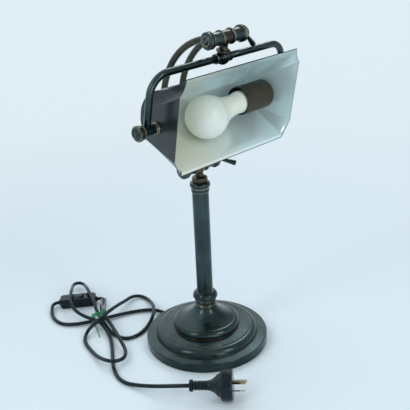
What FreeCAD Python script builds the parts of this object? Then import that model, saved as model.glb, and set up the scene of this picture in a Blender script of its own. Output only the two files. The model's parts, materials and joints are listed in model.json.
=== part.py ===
import FreeCAD, Part
import math
import os
from types import SimpleNamespace

import Sketcher

# A bankers lamp in aged bronze: a weighted round base, a short column, a pair of curved swing arms,
# a tee that hangs from them, a yoke round a trough shade, and a cord with an inline switch and a plug.
# Millimetres. The origin is on the table under the column, +Z is up, and the shade faces -Y.

Vector = FreeCAD.Vector
Placement = FreeCAD.Placement
Rotation = FreeCAD.Rotation

DIMENSIONS = {
    "felt_height": 1.0,
    "base_radius": 94.0,
    "skirt_wall": 1.3,
    "weight_radius": 91.5,
    "rod_radius": 5.0,
    "rod_bore": 3.2,
    "collar_foot": 60.9,
    "column_radius": 12.3,
    "column_wall": 1.5,
    "column_top": 256.1,
    "head_top": 266.4,
    "lower_height": 291.6,
    "upper_depth": -59.2,
    "upper_height": 480.7,
    "arm_spacing": 17.6,
    "arm_radius": 4.6,
    "arm_wall": 1.0,
    "arm_reach": 47.7,
    "barrel_radius": 8.8,
    "segment_radius": 9.0,
    "bolt_radius": 3.0,
    "bolt_bore": 3.05,
    "wire_bore": 1.6,
    "pivot_depth": -38.0,
    "pivot_height": 382.0,
    "yoke_half": 124.8,
    "yoke_drop": 27.8,
    "yoke_radius": 4.75,
    "yoke_wall": 1.15,
    "yoke_bend": 27.0,
    "hub_radius": 9.6,
    "boss_radius": 6.4,
    "knob_radius": 10.5,
    "sheet_metal": 0.9,
    "trough_half": 104.5,
    "cup_radius": 20.0,
    "holder_radius": 17.2,
    "holder_bore": 14.6,
    "bulb_radius": 29.7,
    "cap_radius": 11.0,
    "cord_radius": 2.9,
    "lead_radius": 1.7,
    "exit_height": 6.0,
    "switch_length": 61.0,
    "switch_width": 22.0,
    "switch_height": 17.0,
    "switch_wall": 1.8,
    "rocker_pin": 1.2,
    "plug_radius": 22.0,
    "pin_width": 6.35,
    "pin_thickness": 1.6,
}

SHADE_TILT = 10.56
PANEL_SLOPE = 0.15
SWITCH_PLACE = (-72.7, 239.35)
SWITCH_TURN = math.degrees(math.atan2(-40.3, 51.0))
ROCKER_HEIGHT = 13.6
ROCKER_REST = -8.0
PLUG_PLACE = (-123.9, -87.9, 20.4)
PLUG_AIM = Vector(0.641, -0.767, 0.038)
PLUG_FACE = 61.0
EARTH_ANGLE = 153.6
PLUG_PINS = (
    (EARTH_ANGLE, 10.3, EARTH_ANGLE, 20.0),
    (EARTH_ANGLE + 120.0, 7.92, EARTH_ANGLE + 210.0, 17.0),
    (EARTH_ANGLE - 120.0, 7.92, EARTH_ANGLE - 30.0, 17.0),
)

doc = FreeCAD.newDocument("BankersLamp")
sheet = doc.addObject("Spreadsheet::Sheet", "Dimensions")
nodes = []


def number(value):
    return value.number if isinstance(value, Size) else float(value)


def text(value):
    return value.text if isinstance(value, Size) else repr(float(value))


class Size:
    """A length from the sheet, kept both as its number and as the expression that binds it."""

    def __init__(self, value, words):
        self.number = value
        self.text = words

    def __add__(self, other):
        return Size(self.number + number(other), f"({self.text} + {text(other)})")

    def __sub__(self, other):
        return Size(self.number - number(other), f"({self.text} - {text(other)})")

    def __rsub__(self, other):
        return Size(number(other) - self.number, f"({text(other)} - {self.text})")

    def __mul__(self, other):
        return Size(self.number * number(other), f"({self.text} * {text(other)})")

    def __truediv__(self, other):
        return Size(self.number / number(other), f"({self.text} / {text(other)})")

    def __neg__(self):
        return Size(-self.number, f"(-1 * {self.text})")


for row, (alias, value) in enumerate(DIMENSIONS.items(), 1):
    sheet.set(f"A{row}", alias)
    sheet.set(f"B{row}", str(value))
    sheet.setAlias(f"B{row}", alias)
doc.recompute()

dim = SimpleNamespace(**{alias: Size(value, f"Dimensions.{alias}") for alias, value in DIMENSIONS.items()})

# Frames: the tee and the yoke hang in a plane that leans from the upper axis to the shade's pivot.
HANG_LEAN = math.degrees(math.atan2(
    number(dim.pivot_depth) - number(dim.upper_depth), number(dim.upper_height) - number(dim.pivot_height)))
HANG_LENGTH = math.hypot(
    number(dim.pivot_depth) - number(dim.upper_depth), number(dim.upper_height) - number(dim.pivot_height))
TO_RIGHT = Rotation(Vector(0, 1, 0), 90)
TO_LEFT = Rotation(Vector(0, 1, 0), -90)
LOWER_AXIS = (0, 0, dim.lower_height)
UPPER_AXIS = (0, dim.upper_depth, dim.upper_height)
PIVOT_AXIS = (0, dim.pivot_depth, dim.pivot_height)
HANG = Rotation(Vector(1, 0, 0), HANG_LEAN)
SHADE = Rotation(Vector(1, 0, 0), SHADE_TILT)


def put(feature, base, rotation=None):
    """Place a feature, with each coordinate that comes from the sheet bound to it."""
    feature.Placement = Placement(Vector(*(number(value) for value in base)), rotation or Rotation())
    for axis, value in zip("xyz", base):
        if isinstance(value, Size):
            feature.setExpression(f"Placement.Base.{axis}", value.text)
    return feature


def keep(feature, name):
    """Give a finished sub-part its own label, and list it for the export."""
    feature.Label = name
    nodes.append(feature)
    return feature


def bind(feature, **sizes):
    for field, value in sizes.items():
        setattr(feature, field, number(value))
        if isinstance(value, Size):
            feature.setExpression(field, value.text)
    return feature


def sketch_on(body, role, offset=None):
    plane = next(item for item in body.Origin.OriginFeatures if item.Role == role)
    sketch = body.newObject("Sketcher::SketchObject", "Outline")
    sketch.AttachmentSupport = (plane, [""])
    sketch.MapMode = "FlatFace"
    if offset:
        sketch.AttachmentOffset = Placement(Vector(*(number(value) for value in offset)), Rotation())
        for axis, value in zip("xyz", offset):
            if isinstance(value, Size):
                sketch.setExpression(f"AttachmentOffset.Base.{axis}", value.text)
    return sketch


def arc_between(start, end, radius):
    """The minor arc from start to end; a positive radius swells to the right of the way it runs."""
    chord = end - start
    reach = abs(radius)
    rise = math.sqrt(max(reach ** 2 - chord.Length ** 2 / 4, 0.0))
    left = Vector(-chord.y, chord.x, 0).normalize()
    centre = (start + end) * 0.5 + left * math.copysign(rise, radius)
    first, last = (start, end) if radius > 0 else (end, start)
    angles = [math.atan2(point.y - centre.y, point.x - centre.x) for point in (first, last)]
    return Part.ArcOfCircle(Part.Circle(centre, Vector(0, 0, 1), reach), *angles)


def dome(radius, rise):
    """The arc radius of a dome that meets its axis square, from its rim's radius and its rise."""
    return (radius ** 2 + rise ** 2) / (2 * rise)


def add_fixed(sketch, kind, geometry, vertex, value):
    index = sketch.addConstraint(Sketcher.Constraint(kind, -1, 1, geometry, vertex, number(value)))
    if isinstance(value, Size):
        sketch.setExpression(f"Constraints[{index}]", value.text)


def add_sized(sketch, kind, geometry, value):
    index = sketch.addConstraint(Sketcher.Constraint(kind, geometry, number(value)))
    if isinstance(value, Size):
        sketch.setExpression(f"Constraints[{index}]", value.text)


def draw_path(sketch, points, closed=True):
    """Draw an outline. A point is (across, up), with the radius of the edge after it where that is an arc."""
    flat = [Vector(number(point[0]), number(point[1]), 0) for point in points]
    spans = len(points) if closed else len(points) - 1
    starts, ends = [], []
    for index in range(spans):
        start, end = flat[index], flat[(index + 1) % len(points)]
        radius = points[index][2] if len(points[index]) > 2 else None
        if radius is None:
            edge = sketch.addGeometry(Part.LineSegment(start, end))
            forward = True
        else:
            edge = sketch.addGeometry(arc_between(start, end, number(radius)))
            add_sized(sketch, "Radius", edge, abs(radius) if isinstance(radius, (int, float)) else radius)
            forward = number(radius) > 0
        starts.append((edge, 1 if forward else 2))
        ends.append((edge, 2 if forward else 1))
    for index in range(spans if closed else spans - 1):
        sketch.addConstraint(Sketcher.Constraint("Coincident", *ends[index], *starts[(index + 1) % spans]))
    corners = starts if closed else starts + ends[-1:]
    for (edge, vertex), point in zip(corners, points):
        add_fixed(sketch, "DistanceX", edge, vertex, point[0])
        add_fixed(sketch, "DistanceY", edge, vertex, point[1])


def draw_circle(sketch, across, up, radius):
    centre = Vector(number(across), number(up), 0)
    edge = sketch.addGeometry(Part.Circle(centre, Vector(0, 0, 1), number(radius)))
    add_fixed(sketch, "DistanceX", edge, 3, across)
    add_fixed(sketch, "DistanceY", edge, 3, up)
    add_sized(sketch, "Radius", edge, radius)


def turned(name, points, base=(0, 0, 0), rotation=None):
    """A body turned about its Z axis from outline points (radius, height, arc radius of the next edge)."""
    body = doc.addObject("PartDesign::Body", name)
    sketch = sketch_on(body, "XZ_Plane")
    draw_path(sketch, points)
    turn = body.newObject("PartDesign::Revolution", "Turn")
    turn.Profile = sketch
    turn.ReferenceAxis = (sketch, ["V_Axis"])
    turn.Angle = 360
    return put(body, base, rotation)


def padded(name, points, height, base=(0, 0, 0), rotation=None, role="XY_Plane", middle=False):
    body = doc.addObject("PartDesign::Body", name)
    sketch = sketch_on(body, role)
    draw_path(sketch, points)
    pad = body.newObject("PartDesign::Pad", "Pad")
    pad.Profile = sketch
    pad.Midplane = middle
    bind(pad, Length=height)
    return put(body, base, rotation)


def rounded(half_length, half_width, radius):
    """Outline points of a rounded rectangle about the origin."""
    return [
        (half_length - radius, -half_width, radius), (half_length, -half_width + radius),
        (half_length, half_width - radius, radius), (half_length - radius, half_width),
        (-half_length + radius, half_width, radius), (-half_length, half_width - radius),
        (-half_length, -half_width + radius, radius), (-half_length + radius, -half_width),
    ]


def ring(name, outer, inner, low, high, base=(0, 0, 0), rotation=None):
    return turned(name, [(inner, low), (outer, low), (outer, high), (inner, high)], base, rotation)


def rod(name, radius, height, base, rotation=None):
    return put(bind(doc.addObject("Part::Cylinder", name), Radius=radius, Height=height), base, rotation)


def block(name, length, width, height, base, rotation=None):
    box = doc.addObject("Part::Box", name)
    return put(bind(box, Length=length, Width=width, Height=height), base, rotation)


def joined(name, *features):
    fuse = doc.addObject("Part::MultiFuse", name)
    fuse.Shapes = list(features)
    return fuse


def cut(name, blank, *tools):
    """The blank less its tools, as one boolean each."""
    for tool in tools:
        result = doc.addObject("Part::Cut", name)
        result.Base = blank
        result.Tool = tool
        blank = result
    return blank


def shifted(axis, along, rotation):
    """The place at a distance along a turned part's own axis, from a point on that axis."""
    offset = rotation.multVec(Vector(0, 0, number(along)))
    return tuple(value + part if abs(part) > 1e-9 else value for value, part in zip(axis, offset))


def free_shape(name, shape, base=(0, 0, 0), rotation=None):
    feature = doc.addObject("Part::Feature", name)
    feature.Shape = shape
    return put(feature, base, rotation)


# Base and column

def make_base():
    lift = dim.felt_height
    shell = turned("ShellBlank", [
        (dim.base_radius, lift), (dim.base_radius, 13.2, 1.7), (92.6, 14.8), (79.8, 16.0), (79.2, 17.0, 10.0),
        (68.8, 26.6), (67.6, 27.6), (66.8, 27.0), (51.2, 28.6), (50.9, 29.0, 8.45), (44.2, 40.6),
        (43.4, 40.2), (43.0, 40.8, -59.0), (16.2, 60.8), (13.0, 60.8), (13.0, 59.4), (15.5, 58.8),
        (29.5, 46.0), (42.5, 39.0), (43.8, 37.5), (49.2, 29.0), (49.6, 27.2), (66.5, 25.8, -9.6),
        (77.6, 16.0), (78.6, 14.8), (92.0, 13.5), (dim.base_radius - dim.skirt_wall, 12.6),
        (dim.base_radius - dim.skirt_wall, lift),
    ])
    exit_bore = rod("ExitBore", 4.65, 12, (0, 96, dim.exit_height), Rotation(Vector(1, 0, 0), 90))
    keep(cut("ExitCut", shell, exit_bore), "base_shell")

    weight = turned("WeightBlank", [
        (14.5, lift), (dim.weight_radius, lift), (dim.weight_radius, 9.5), (72.0, 12.0), (63.0, 25.9),
        (52.0, 26.8), (44.0, 14.5), (dim.rod_radius + 0.1, 14.5), (dim.rod_radius + 0.1, 11.0), (14.5, 11.0),
    ])
    channel = block("Channel", 8, 80, 9, (-4, 12, lift))
    recess = rod("BushRecess", 6.2, 14, (0, 95, dim.exit_height), Rotation(Vector(1, 0, 0), 90))
    keep(cut("WeightCut", weight, channel, recess), "base_weight")

    keep(ring("FeltBody", 87.8, 14.5, 0, lift), "felt_pad")
    keep(ring("WasherBody", 13.0, dim.rod_radius + 0.2, 9.8, 11.0), "rod_washer")
    nut = doc.addObject("Part::Prism", "NutBlank")
    nut.Polygon = 6
    put(bind(nut, Circumradius=9.2, Height=4.5), (0, 0, 5.3))
    keep(cut("NutCut", nut, rod("NutBore", dim.rod_radius, 6, (0, 0, 5.0))), "rod_nut")
    keep(ring("TieRodBody", dim.rod_radius, dim.rod_bore, 5.2, 258.0), "tie_rod")

    bush = turned("BushBody", [
        (dim.lead_radius + 0.05, 88.0), (5.6, 88.0), (5.6, 92.3), (4.6, 92.5), (4.6, 94.3), (5.1, 94.5, 12.0),
        (3.6, 100.0), (3.2, 100.5), (dim.lead_radius + 0.05, 100.5),
    ], (0, 0, dim.exit_height), Rotation(Vector(1, 0, 0), -90))
    keep(bush, "cord_grommet")


def make_column():
    foot = dim.collar_foot
    bore = dim.column_radius + 0.05
    keep(turned("FootCollarBody", [
        (dim.rod_radius + 0.3, foot), (15.2, foot), (15.2, 63.6), (14.7, 64.0, 1.9), (14.7, 67.4),
        (14.2, 67.9), (15.0, 68.6, 2.8), (15.2, 73.2), (14.9, 74.0), (18.3, 77.2), (18.9, 77.7),
        (18.9, 78.5, 8.5), (13.4, 86.6), (bore, 86.9), (bore, 64.0), (dim.rod_radius + 0.3, 64.0),
    ]), "foot_collar")
    inside = dim.column_radius - dim.column_wall
    keep(ring("ColumnBody", dim.column_radius, inside, 64.1, 256.0), "column_tube")
    spigot_bore = 4.05
    keep(turned("ColumnHeadBody", [
        (bore, 251.5), (13.3, 251.5), (13.3, 257.2), (13.9, 257.8), (13.9, 258.4), (13.5, 258.7, 4.9),
        (13.2, 266.3), (spigot_bore, dim.head_top), (spigot_bore, 258.5), (dim.rod_radius + 0.05, 258.5),
        (dim.rod_radius + 0.05, dim.column_top), (bore, dim.column_top),
    ]), "column_head")


# Friction joints: each has a centre barrel, two side segments with bead rings, a bolt, a knob and a lever

def centre_barrel(name, axis):
    side = 8.0
    return turned(name, [
        (1.0, -side), (8.2, -side), (dim.barrel_radius, -side + 0.6), (dim.barrel_radius, side - 0.6),
        (8.2, side), (1.0, side),
    ], axis, TO_RIGHT)


def knuckle(name, stem_points, axis, rotation, wire_depth):
    """A stem and its centre barrel in one piece, bored for the bolt and for the wires."""
    stem = turned(name + "_stem", stem_points, axis, rotation)
    barrel = centre_barrel(name + "_barrel", axis)
    bolt_bore = rod(name + "_bolt_bore", dim.bolt_bore, 20, shifted(axis, -10, TO_RIGHT), TO_RIGHT)
    wire_foot = shifted(axis, -wire_depth, rotation)
    wire_bore = rod(name + "_wire_bore", dim.wire_bore, wire_depth, wire_foot, rotation)
    keep(cut(name + "_cut", joined(name + "_blank", stem, barrel), bolt_bore, wire_bore), name)


def make_knuckles():
    knuckle("lower_knuckle", [
        (1.0, -32.4), (4.0, -32.4), (4.0, -24.9), (10.6, -24.9), (10.9, -24.5, 9.1), (10.9, -18.0),
        (10.4, -17.4, -4.5), (6.2, -14.8), (5.4, -13.0), (5.4, -11.6), (6.3, -9.2), (6.3, -6.5), (1.0, -6.5),
    ], LOWER_AXIS, Rotation(), 33)
    knuckle("upper_knuckle", [
        (1.0, -33.4), (3.0, -33.4), (3.0, -20.1), (8.2, -20.1), (9.5, -19.1), (9.6, -18.2),
        (9.3, -17.2, -6.0), (5.2, -12.0), (5.2, -10.5), (6.2, -7.5), (6.2, -6.5), (1.0, -6.5),
    ], UPPER_AXIS, HANG, 34)


def mirrored_pair(name, points, axis):
    """The same turned piece on both sides of a barrel."""
    right = turned(name + "_right", points, axis, TO_RIGHT)
    left = turned(name + "_left", points, axis, TO_LEFT)
    return left, right


def make_barrels(level, axis):
    bore = dim.bolt_bore
    segment = [
        (bore, 11.6), (8.6, 11.6), (dim.segment_radius, 12.0), (8.6, 17.0), (dim.segment_radius, 25.0),
        (10.6, 26.4), (11.2, 27.0, 1.6), (11.2, 29.2), (10.6, 29.7), (dim.barrel_radius, 30.4), (bore, 30.4),
    ]
    left, right = mirrored_pair(level + "_segment", segment, axis)
    keep(left, level + "_barrel_left")
    keep(right, level + "_barrel_right")
    bead = [(bore, 8.3), (9.8, 8.3, 1.6), (9.8, 11.3), (bore, 11.3)]
    keep(joined(level + "_beads", *mirrored_pair(level + "_bead", bead, axis)), level + "_friction_rings")
    bolt = turned(level + "_bolt_body", [
        (0, -34.0), (dim.bolt_radius, -34.0), (dim.bolt_radius, 36.6), (0, 36.6)], axis, TO_RIGHT)
    keep(bolt, level + "_bolt")
    keep(turned(level + "_knob_body", [
        (bore, 30.6), (8.0, 30.6), (8.4, 31.0), (10.9, 31.2), (11.6, 31.9), (11.6, 33.4), (10.9, 34.2),
        (8.0, 34.9), (6.9, 35.7), (6.3, 35.9), (5.6, 35.5), (5.2, 35.0), (4.5, 35.0, dome(4.5, 1.6)),
        (0, 36.6), (0, 34.2), (bore, 34.2),
    ], axis, TO_LEFT), level + "_end_knob")


def arm(name, side):
    """A bent tube from the upper joint out behind and back in to the lower joint, hollow for the wires."""
    body = doc.addObject("PartDesign::Body", name)
    top_radius = dim.arm_reach - dim.upper_depth
    middle = dim.upper_height - top_radius
    drop = middle - dim.lower_height
    low_radius = (dim.arm_reach * dim.arm_reach + drop * drop) / (dim.arm_reach * 2)
    path = sketch_on(body, "YZ_Plane", (0, 0, dim.arm_spacing * side))
    draw_path(path, [
        (dim.upper_depth, dim.upper_height, -number(top_radius)),
        (dim.arm_reach, middle, -number(low_radius)),
        (0, dim.lower_height),
    ], closed=False)
    section = sketch_on(body, "XZ_Plane", (0, 0, -dim.upper_depth))
    draw_circle(section, dim.arm_spacing * side, dim.upper_height, dim.arm_radius)
    draw_circle(section, dim.arm_spacing * side, dim.upper_height, dim.arm_radius - dim.arm_wall)
    pipe = body.newObject("PartDesign::AdditivePipe", "Pipe")
    pipe.Profile = section
    pipe.Spine = (path, ["Edge1", "Edge2"])
    saddles = sketch_on(body, "YZ_Plane")
    draw_circle(saddles, dim.upper_depth, dim.upper_height, dim.segment_radius)
    draw_circle(saddles, 0, dim.lower_height, dim.segment_radius)
    pocket = body.newObject("PartDesign::Pocket", "Saddles")
    pocket.Profile = saddles
    pocket.Type = 1
    pocket.Midplane = True
    keep(body, name)


def make_lever(level, axis, swing):
    """The friction lever: a cap on the bolt's end, and a slim peg that leaves it at 45 degrees."""
    cap_blank = turned(level + "_cap_blank", [
        (dim.bolt_bore, 30.7), (10.6, 30.7), (11.2, 31.3, 1.5), (11.2, 33.0), (10.4, 33.6), (8.6, 33.9),
        (8.4, 37.2, 2.0), (7.0, 38.6, dome(7.0, 0.6)), (0, 39.2), (0, 36.9), (dim.bolt_bore, 36.9),
    ], axis, TO_RIGHT)
    splay = math.radians(45)
    angle = math.radians(swing)
    aim = Vector(math.sin(splay), -math.cos(splay) * math.sin(angle), -math.cos(splay) * math.cos(angle))
    root = 37.2
    peg_turn = Rotation(Vector(0, 0, 1), aim)
    start = shifted(axis, root, TO_RIGHT)
    peg = turned(level + "_peg_body", [
        (0, 3.6), (2.6, 3.6), (2.4, 10.0), (3.5, 23.0), (3.9, 26.6), (3.6, 28.2), (2.9, 28.9), (0, 29.1),
    ], start, peg_turn)
    socket = rod(level + "_peg_socket", 2.65, 12, shifted(start, 3.5, peg_turn), peg_turn)
    keep(cut(level + "_cap_cut", cap_blank, socket), level + "_lever_cap")
    keep(peg, level + "_lever_peg")


# Yoke: a hub on the tee's spigot, two bent tubes and a boss at the foot of each

def yoke_tube(name, side):
    body = doc.addObject("PartDesign::Body", name)
    inner_end = 5.0
    bend = dim.yoke_bend
    half = dim.yoke_half
    path = sketch_on(body, "XZ_Plane")
    turn = -number(bend) * side
    draw_path(path, [
        (inner_end * side, -dim.yoke_drop), ((half - bend) * side, -dim.yoke_drop, turn),
        (half * side, -(dim.yoke_drop + bend)), (half * side, -HANG_LENGTH + 2.0),
    ], closed=False)
    section = sketch_on(body, "YZ_Plane", (0, 0, inner_end * side))
    draw_circle(section, 0, -dim.yoke_drop, dim.yoke_radius)
    draw_circle(section, 0, -dim.yoke_drop, dim.yoke_radius - dim.yoke_wall)
    pipe = body.newObject("PartDesign::AdditivePipe", "Pipe")
    pipe.Profile = section
    pipe.Spine = (path, ["Edge1", "Edge2", "Edge3"])
    saddle = sketch_on(body, "YZ_Plane")
    draw_circle(saddle, 0, -HANG_LENGTH, dim.boss_radius + 0.1)
    pocket = body.newObject("PartDesign::Pocket", "Saddle")
    pocket.Profile = saddle
    pocket.Type = 1
    pocket.Midplane = True
    keep(put(body, UPPER_AXIS, HANG), name)


def make_hub():
    centre = shifted(UPPER_AXIS, -dim.yoke_drop, HANG)
    ball = put(bind(doc.addObject("Part::Sphere", "HubBall"), Radius=dim.hub_radius), centre, HANG)
    across = HANG.multiply(TO_RIGHT)
    sleeve_half = 14.0
    sleeve = rod("HubSleeve", 6.8, sleeve_half * 2, shifted(centre, -sleeve_half, across), across)
    top = rod("HubTop", 14, 10, shifted(UPPER_AXIS, -20.4, HANG), HANG)
    stem_bore = rod("HubStemBore", dim.bolt_bore, 16, shifted(UPPER_AXIS, -34.0, HANG), HANG)
    wire_way = rod("HubWireWay", 2.6, 10, shifted(centre, -5.0, across), across)
    bores = []
    for direction in (across, HANG.multiply(TO_LEFT)):
        mouth = shifted(centre, 4.95, direction)
        bores.append(rod("HubTubeBore", dim.yoke_radius + 0.02, 12, mouth, direction))
    keep(cut("HubCut", joined("HubBlank", ball, sleeve), top, stem_bore, wire_way, *bores), "yoke_hub")


def make_pivots():
    bore = dim.bolt_bore
    tip = dim.boss_radius
    boss = [
        (bore, 110.7), (7.4, 110.7), (7.7, 111.0), (7.7, 112.5), (7.3, 112.9), (tip + 0.2, 113.2),
        (tip, 114.0), (tip, 127.2), (tip + 0.1, 128.0), (tip + 0.1, 130.2), (bore, 130.2),
    ]
    knob = [
        (bore, 130.6), (8.8, 130.6), (9.4, 131.1), (9.4, 133.3), (8.8, 133.9), (7.6, 134.3), (7.6, 135.9),
        (9.5, 136.5), (dim.knob_radius, 137.5), (dim.knob_radius, 140.5), (9.7, 141.6), (8.6, 141.8),
        (7.4, 141.0), (5.4, 141.0), (5.0, 141.4, dome(5.0, 1.6)), (0, 143.0), (0, 140.2), (bore, 140.2),
    ]
    for side, rotation, head in (("left", TO_LEFT, 104.4), ("right", TO_RIGHT, 102.1)):
        keep(turned("Boss_" + side, boss, PIVOT_AXIS, rotation), "yoke_boss_" + side)
        keep(turned("Knob_" + side, knob, PIVOT_AXIS, rotation), "pivot_knob_" + side)
        pin = [
            (1.8, head), (6.0, head), (6.0, head + 1.6), (dim.bolt_radius, head + 1.6),
            (dim.bolt_radius, 139.4), (2.6, 139.8), (1.8, 139.8),
        ]
        keep(turned("Pin_" + side, pin, PIVOT_AXIS, rotation), "pivot_pin_" + side)
        blank = turned("Flange_" + side, [
            (bore, 105.0), (8.0, 105.0), (8.0, 109.8), (7.4, 110.4), (bore, 110.4),
        ], PIVOT_AXIS, rotation)
        keep(cut("FlangeCut_" + side, blank, panel_side_block(side)), "pivot_flange_" + side)


def panel_side_block(side):
    """A block whose one face is the outside of an end panel, used to fit the flange to the slanted panel."""
    slope = math.degrees(math.atan(PANEL_SLOPE))
    turn = slope if side == "right" else 180.0 - slope
    reach = PANEL_OUT if side == "right" else -PANEL_OUT
    face = SHADE.multiply(Rotation(Vector(0, 0, 1), turn))
    corner = SHADE.multVec(Vector(reach, 0, 0)) + face.multVec(Vector(-40, -30, -30))
    base = tuple(value + part for value, part in zip(PIVOT_AXIS[1:], (corner.y, corner.z)))
    return block("PanelSide_" + side, 40, 60, 60, (corner.x, *base), face)


# Shade: its outline is in the plane across it, from the pivot, with the opening at the left

PANEL_OUT = 107.9
OPENING = -42.2
SHADE_TOP = 78.7
SHADE_FOOT = -54.3
TOP_ARCS = (((OPENING, SHADE_TOP), (-18.2, 60.2), (1.4, 49.4)), ((1.4, 49.4), (24.0, 36.0), (37.8, 9.2)))
FOOT_ARC = ((37.8, 9.2), (34.5, -12.0), (20.0, -29.5))
FOOT_LINE = ((20.0, -29.5), (-39.0, -48.2))
LIP_BACK = -41.3
LIP = ((-39.0, -48.2), (LIP_BACK, -49.3), (LIP_BACK, SHADE_FOOT))


def circle_through(first, second, third):
    """Centre and radius of the circle through three points."""
    circle = Part.Arc(*(Vector(*point, 0) for point in (first, second, third))).toShape().Curve
    return circle.Center, circle.Radius


def arc_height(points, depth, upper):
    centre, radius = circle_through(*points)
    rise = math.sqrt(max(radius ** 2 - (depth - centre.x) ** 2, 0.0))
    return centre.y + rise if upper else centre.y - rise


def top_height(depth):
    """Height of the trough's outer skin above the pivot, at a depth across the shade."""
    near, far = TOP_ARCS
    centre, _ = circle_through(*near)
    if depth < near[2][0]:
        return arc_height(near, depth, upper=centre.y < near[2][1])
    return arc_height(far, depth, upper=True)


def foot_height(depth):
    near, far = FOOT_LINE[1][0], FOOT_LINE[0][0]
    if depth > far:
        return arc_height(FOOT_ARC, depth, upper=False)
    if depth > near:
        return FOOT_LINE[0][1] + (depth - far) * (FOOT_LINE[1][1] - FOOT_LINE[0][1]) / (near - far)
    return SHADE_FOOT


def half_length(height):
    """The trough is a little longer at the top than at the bottom."""
    return 101.5 + 0.037 * (height - 12.2)


def skin_edges(points_in):
    """Edges of the trough's skin, as arcs and lines through the given points."""
    edges = []
    for points in points_in:
        corners = [Vector(0, *point) for point in points]
        edges.append(Part.Arc(*corners).toShape() if len(corners) == 3 else Part.makeLine(*corners))
    return edges


def inward(point, before, after, thickness):
    """A point of the skin moved in by the sheet's thickness, square to the way from before to after."""
    way = Vector(after[0] - before[0], after[1] - before[1], 0).normalize()
    return (point[0] + way.y * thickness, point[1] - way.x * thickness)


def make_trough():
    thickness = number(dim.sheet_metal)
    outer = list(TOP_ARCS) + [FOOT_ARC, FOOT_LINE, LIP[:2], LIP[1:]]
    inner = []
    for index, points in enumerate(outer):
        ahead = outer[index + 1] if index + 1 < len(outer) else None
        behind = outer[index - 1] if index else None
        start_way = (behind[-2], points[1]) if behind else points[:2]
        end_way = (points[-2], ahead[1]) if ahead else points[-2:]
        moved = [inward(points[0], *start_way, thickness)]
        if len(points) == 3:
            moved.append(inward(points[1], points[0], points[2], thickness))
        moved.append(inward(points[-1], *end_way, thickness))
        inner.append(tuple(moved))
    caps = [(outer[-1][-1], inner[-1][-1]), (inner[0][0], outer[0][0])]
    back = [tuple(reversed(points)) for points in reversed(inner)]
    wire = Part.Wire(skin_edges(outer) + skin_edges(caps[:1]) + skin_edges(back) + skin_edges(caps[1:]))
    longest = number(dim.trough_half)
    skin = Part.Face(wire).extrude(Vector(2 * longest, 0, 0))
    skin.translate(Vector(-longest, 0, 0))
    for side in (1, -1):
        high, low = 100.0, -80.0
        corners = [(half_length(high), high), (200.0, high), (200.0, low), (half_length(low), low)]
        outline = Part.makePolygon([Vector(side * x, -80, z) for x, z in corners + corners[:1]])
        skin = skin.cut(Part.Face(outline).extrude(Vector(0, 160, 0)))
    keep(free_shape("Trough", skin.removeSplitter(), PIVOT_AXIS, SHADE), "shade_trough")


def crease_height(depth):
    """The fold between an end panel's flat face and its upper flap."""
    return 31.0 - 0.55 * depth + 0.0018 * depth ** 2


def panel_section(depth):
    """A closed thin section of the right end panel, across the shade at one depth."""
    thickness = number(dim.sheet_metal)
    top, foot = top_height(depth), foot_height(depth)
    crease = min(crease_height(depth), top - 2.5)
    fold = max(-30.8 + 0.07 * (depth - OPENING), foot + 1.2)
    face = PANEL_OUT - PANEL_SLOPE * depth
    head = half_length(top) + thickness
    flare = max(face - head, 0.25)
    drop = top - crease
    radius = (flare ** 2 + drop ** 2) / (2 * flare)
    half_turn = math.asin(drop / radius) / 2
    bend = (head + radius * (1 - math.cos(half_turn)), top - radius * math.sin(half_turn))
    hem = half_length(foot) + thickness
    outer = [(head, top), bend, (head + flare, crease), (head + flare, fold), (hem, foot)]
    inner = [(x - thickness, z) for x, z in outer]
    out = [Vector(x, depth, z) for x, z in outer]
    back = [Vector(x, depth, z) for x, z in inner]
    edges = [
        Part.Arc(*out[:3]).toShape(), Part.makeLine(out[2], out[3]), Part.makeLine(out[3], out[4]),
        Part.makeLine(out[4], back[4]), Part.makeLine(back[4], back[3]), Part.makeLine(back[3], back[2]),
        Part.Arc(back[2], back[1], back[0]).toShape(), Part.makeLine(back[0], out[0]),
    ]
    return Part.Wire(edges)


def make_end_panels():
    depths = (OPENING, -28.0, -12.0, 4.0, 18.0, 28.0, 34.0, 37.2)
    panel = Part.makeLoft([panel_section(depth) for depth in depths], True, True)
    hole = Part.makeCylinder(number(dim.bolt_bore), 20, Vector(98, 0, 0), Vector(1, 0, 0))
    right = panel.cut(hole)
    left = right.mirror(Vector(0, 0, 0), Vector(1, 0, 0))
    keep(free_shape("EndRight", right, PIVOT_AXIS, SHADE), "shade_end_right")
    keep(free_shape("EndLeft", left, PIVOT_AXIS, SHADE), "shade_end_left")


# Lamp holder and bulb, inside the right end of the shade

def make_holder():
    cup = dim.cup_radius
    wall = dim.sheet_metal
    keep(turned("CupBody", [
        (cup - wall, 45.0), (cup, 45.0), (cup, 96.4, 12.6), (11.0, 104.8), (dim.bolt_bore, 104.8),
        (dim.bolt_bore, 103.9), (10.6, 103.9, -11.7), (cup - wall, 96.2),
    ], PIVOT_AXIS, TO_RIGHT), "socket_cup")
    keep(turned("HolderBody", [
        (dim.holder_bore, 62.0), (dim.holder_radius - 0.6, 62.0), (dim.holder_radius, 62.6),
        (dim.holder_radius, 93.0), (12.0, 99.6), (0, 99.6), (0, 90.0), (dim.holder_bore, 90.0),
    ], PIVOT_AXIS, TO_RIGHT), "lampholder")
    contacts = []
    for offset in (-4.6, 4.6):
        place = shifted(PIVOT_AXIS, 86.0, TO_RIGHT)
        contacts.append(rod("Contact", 1.8, 4.0, (place[0], place[1] + offset, place[2]), TO_RIGHT))
    keep(joined("ContactPair", *contacts), "holder_contacts")


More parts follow.
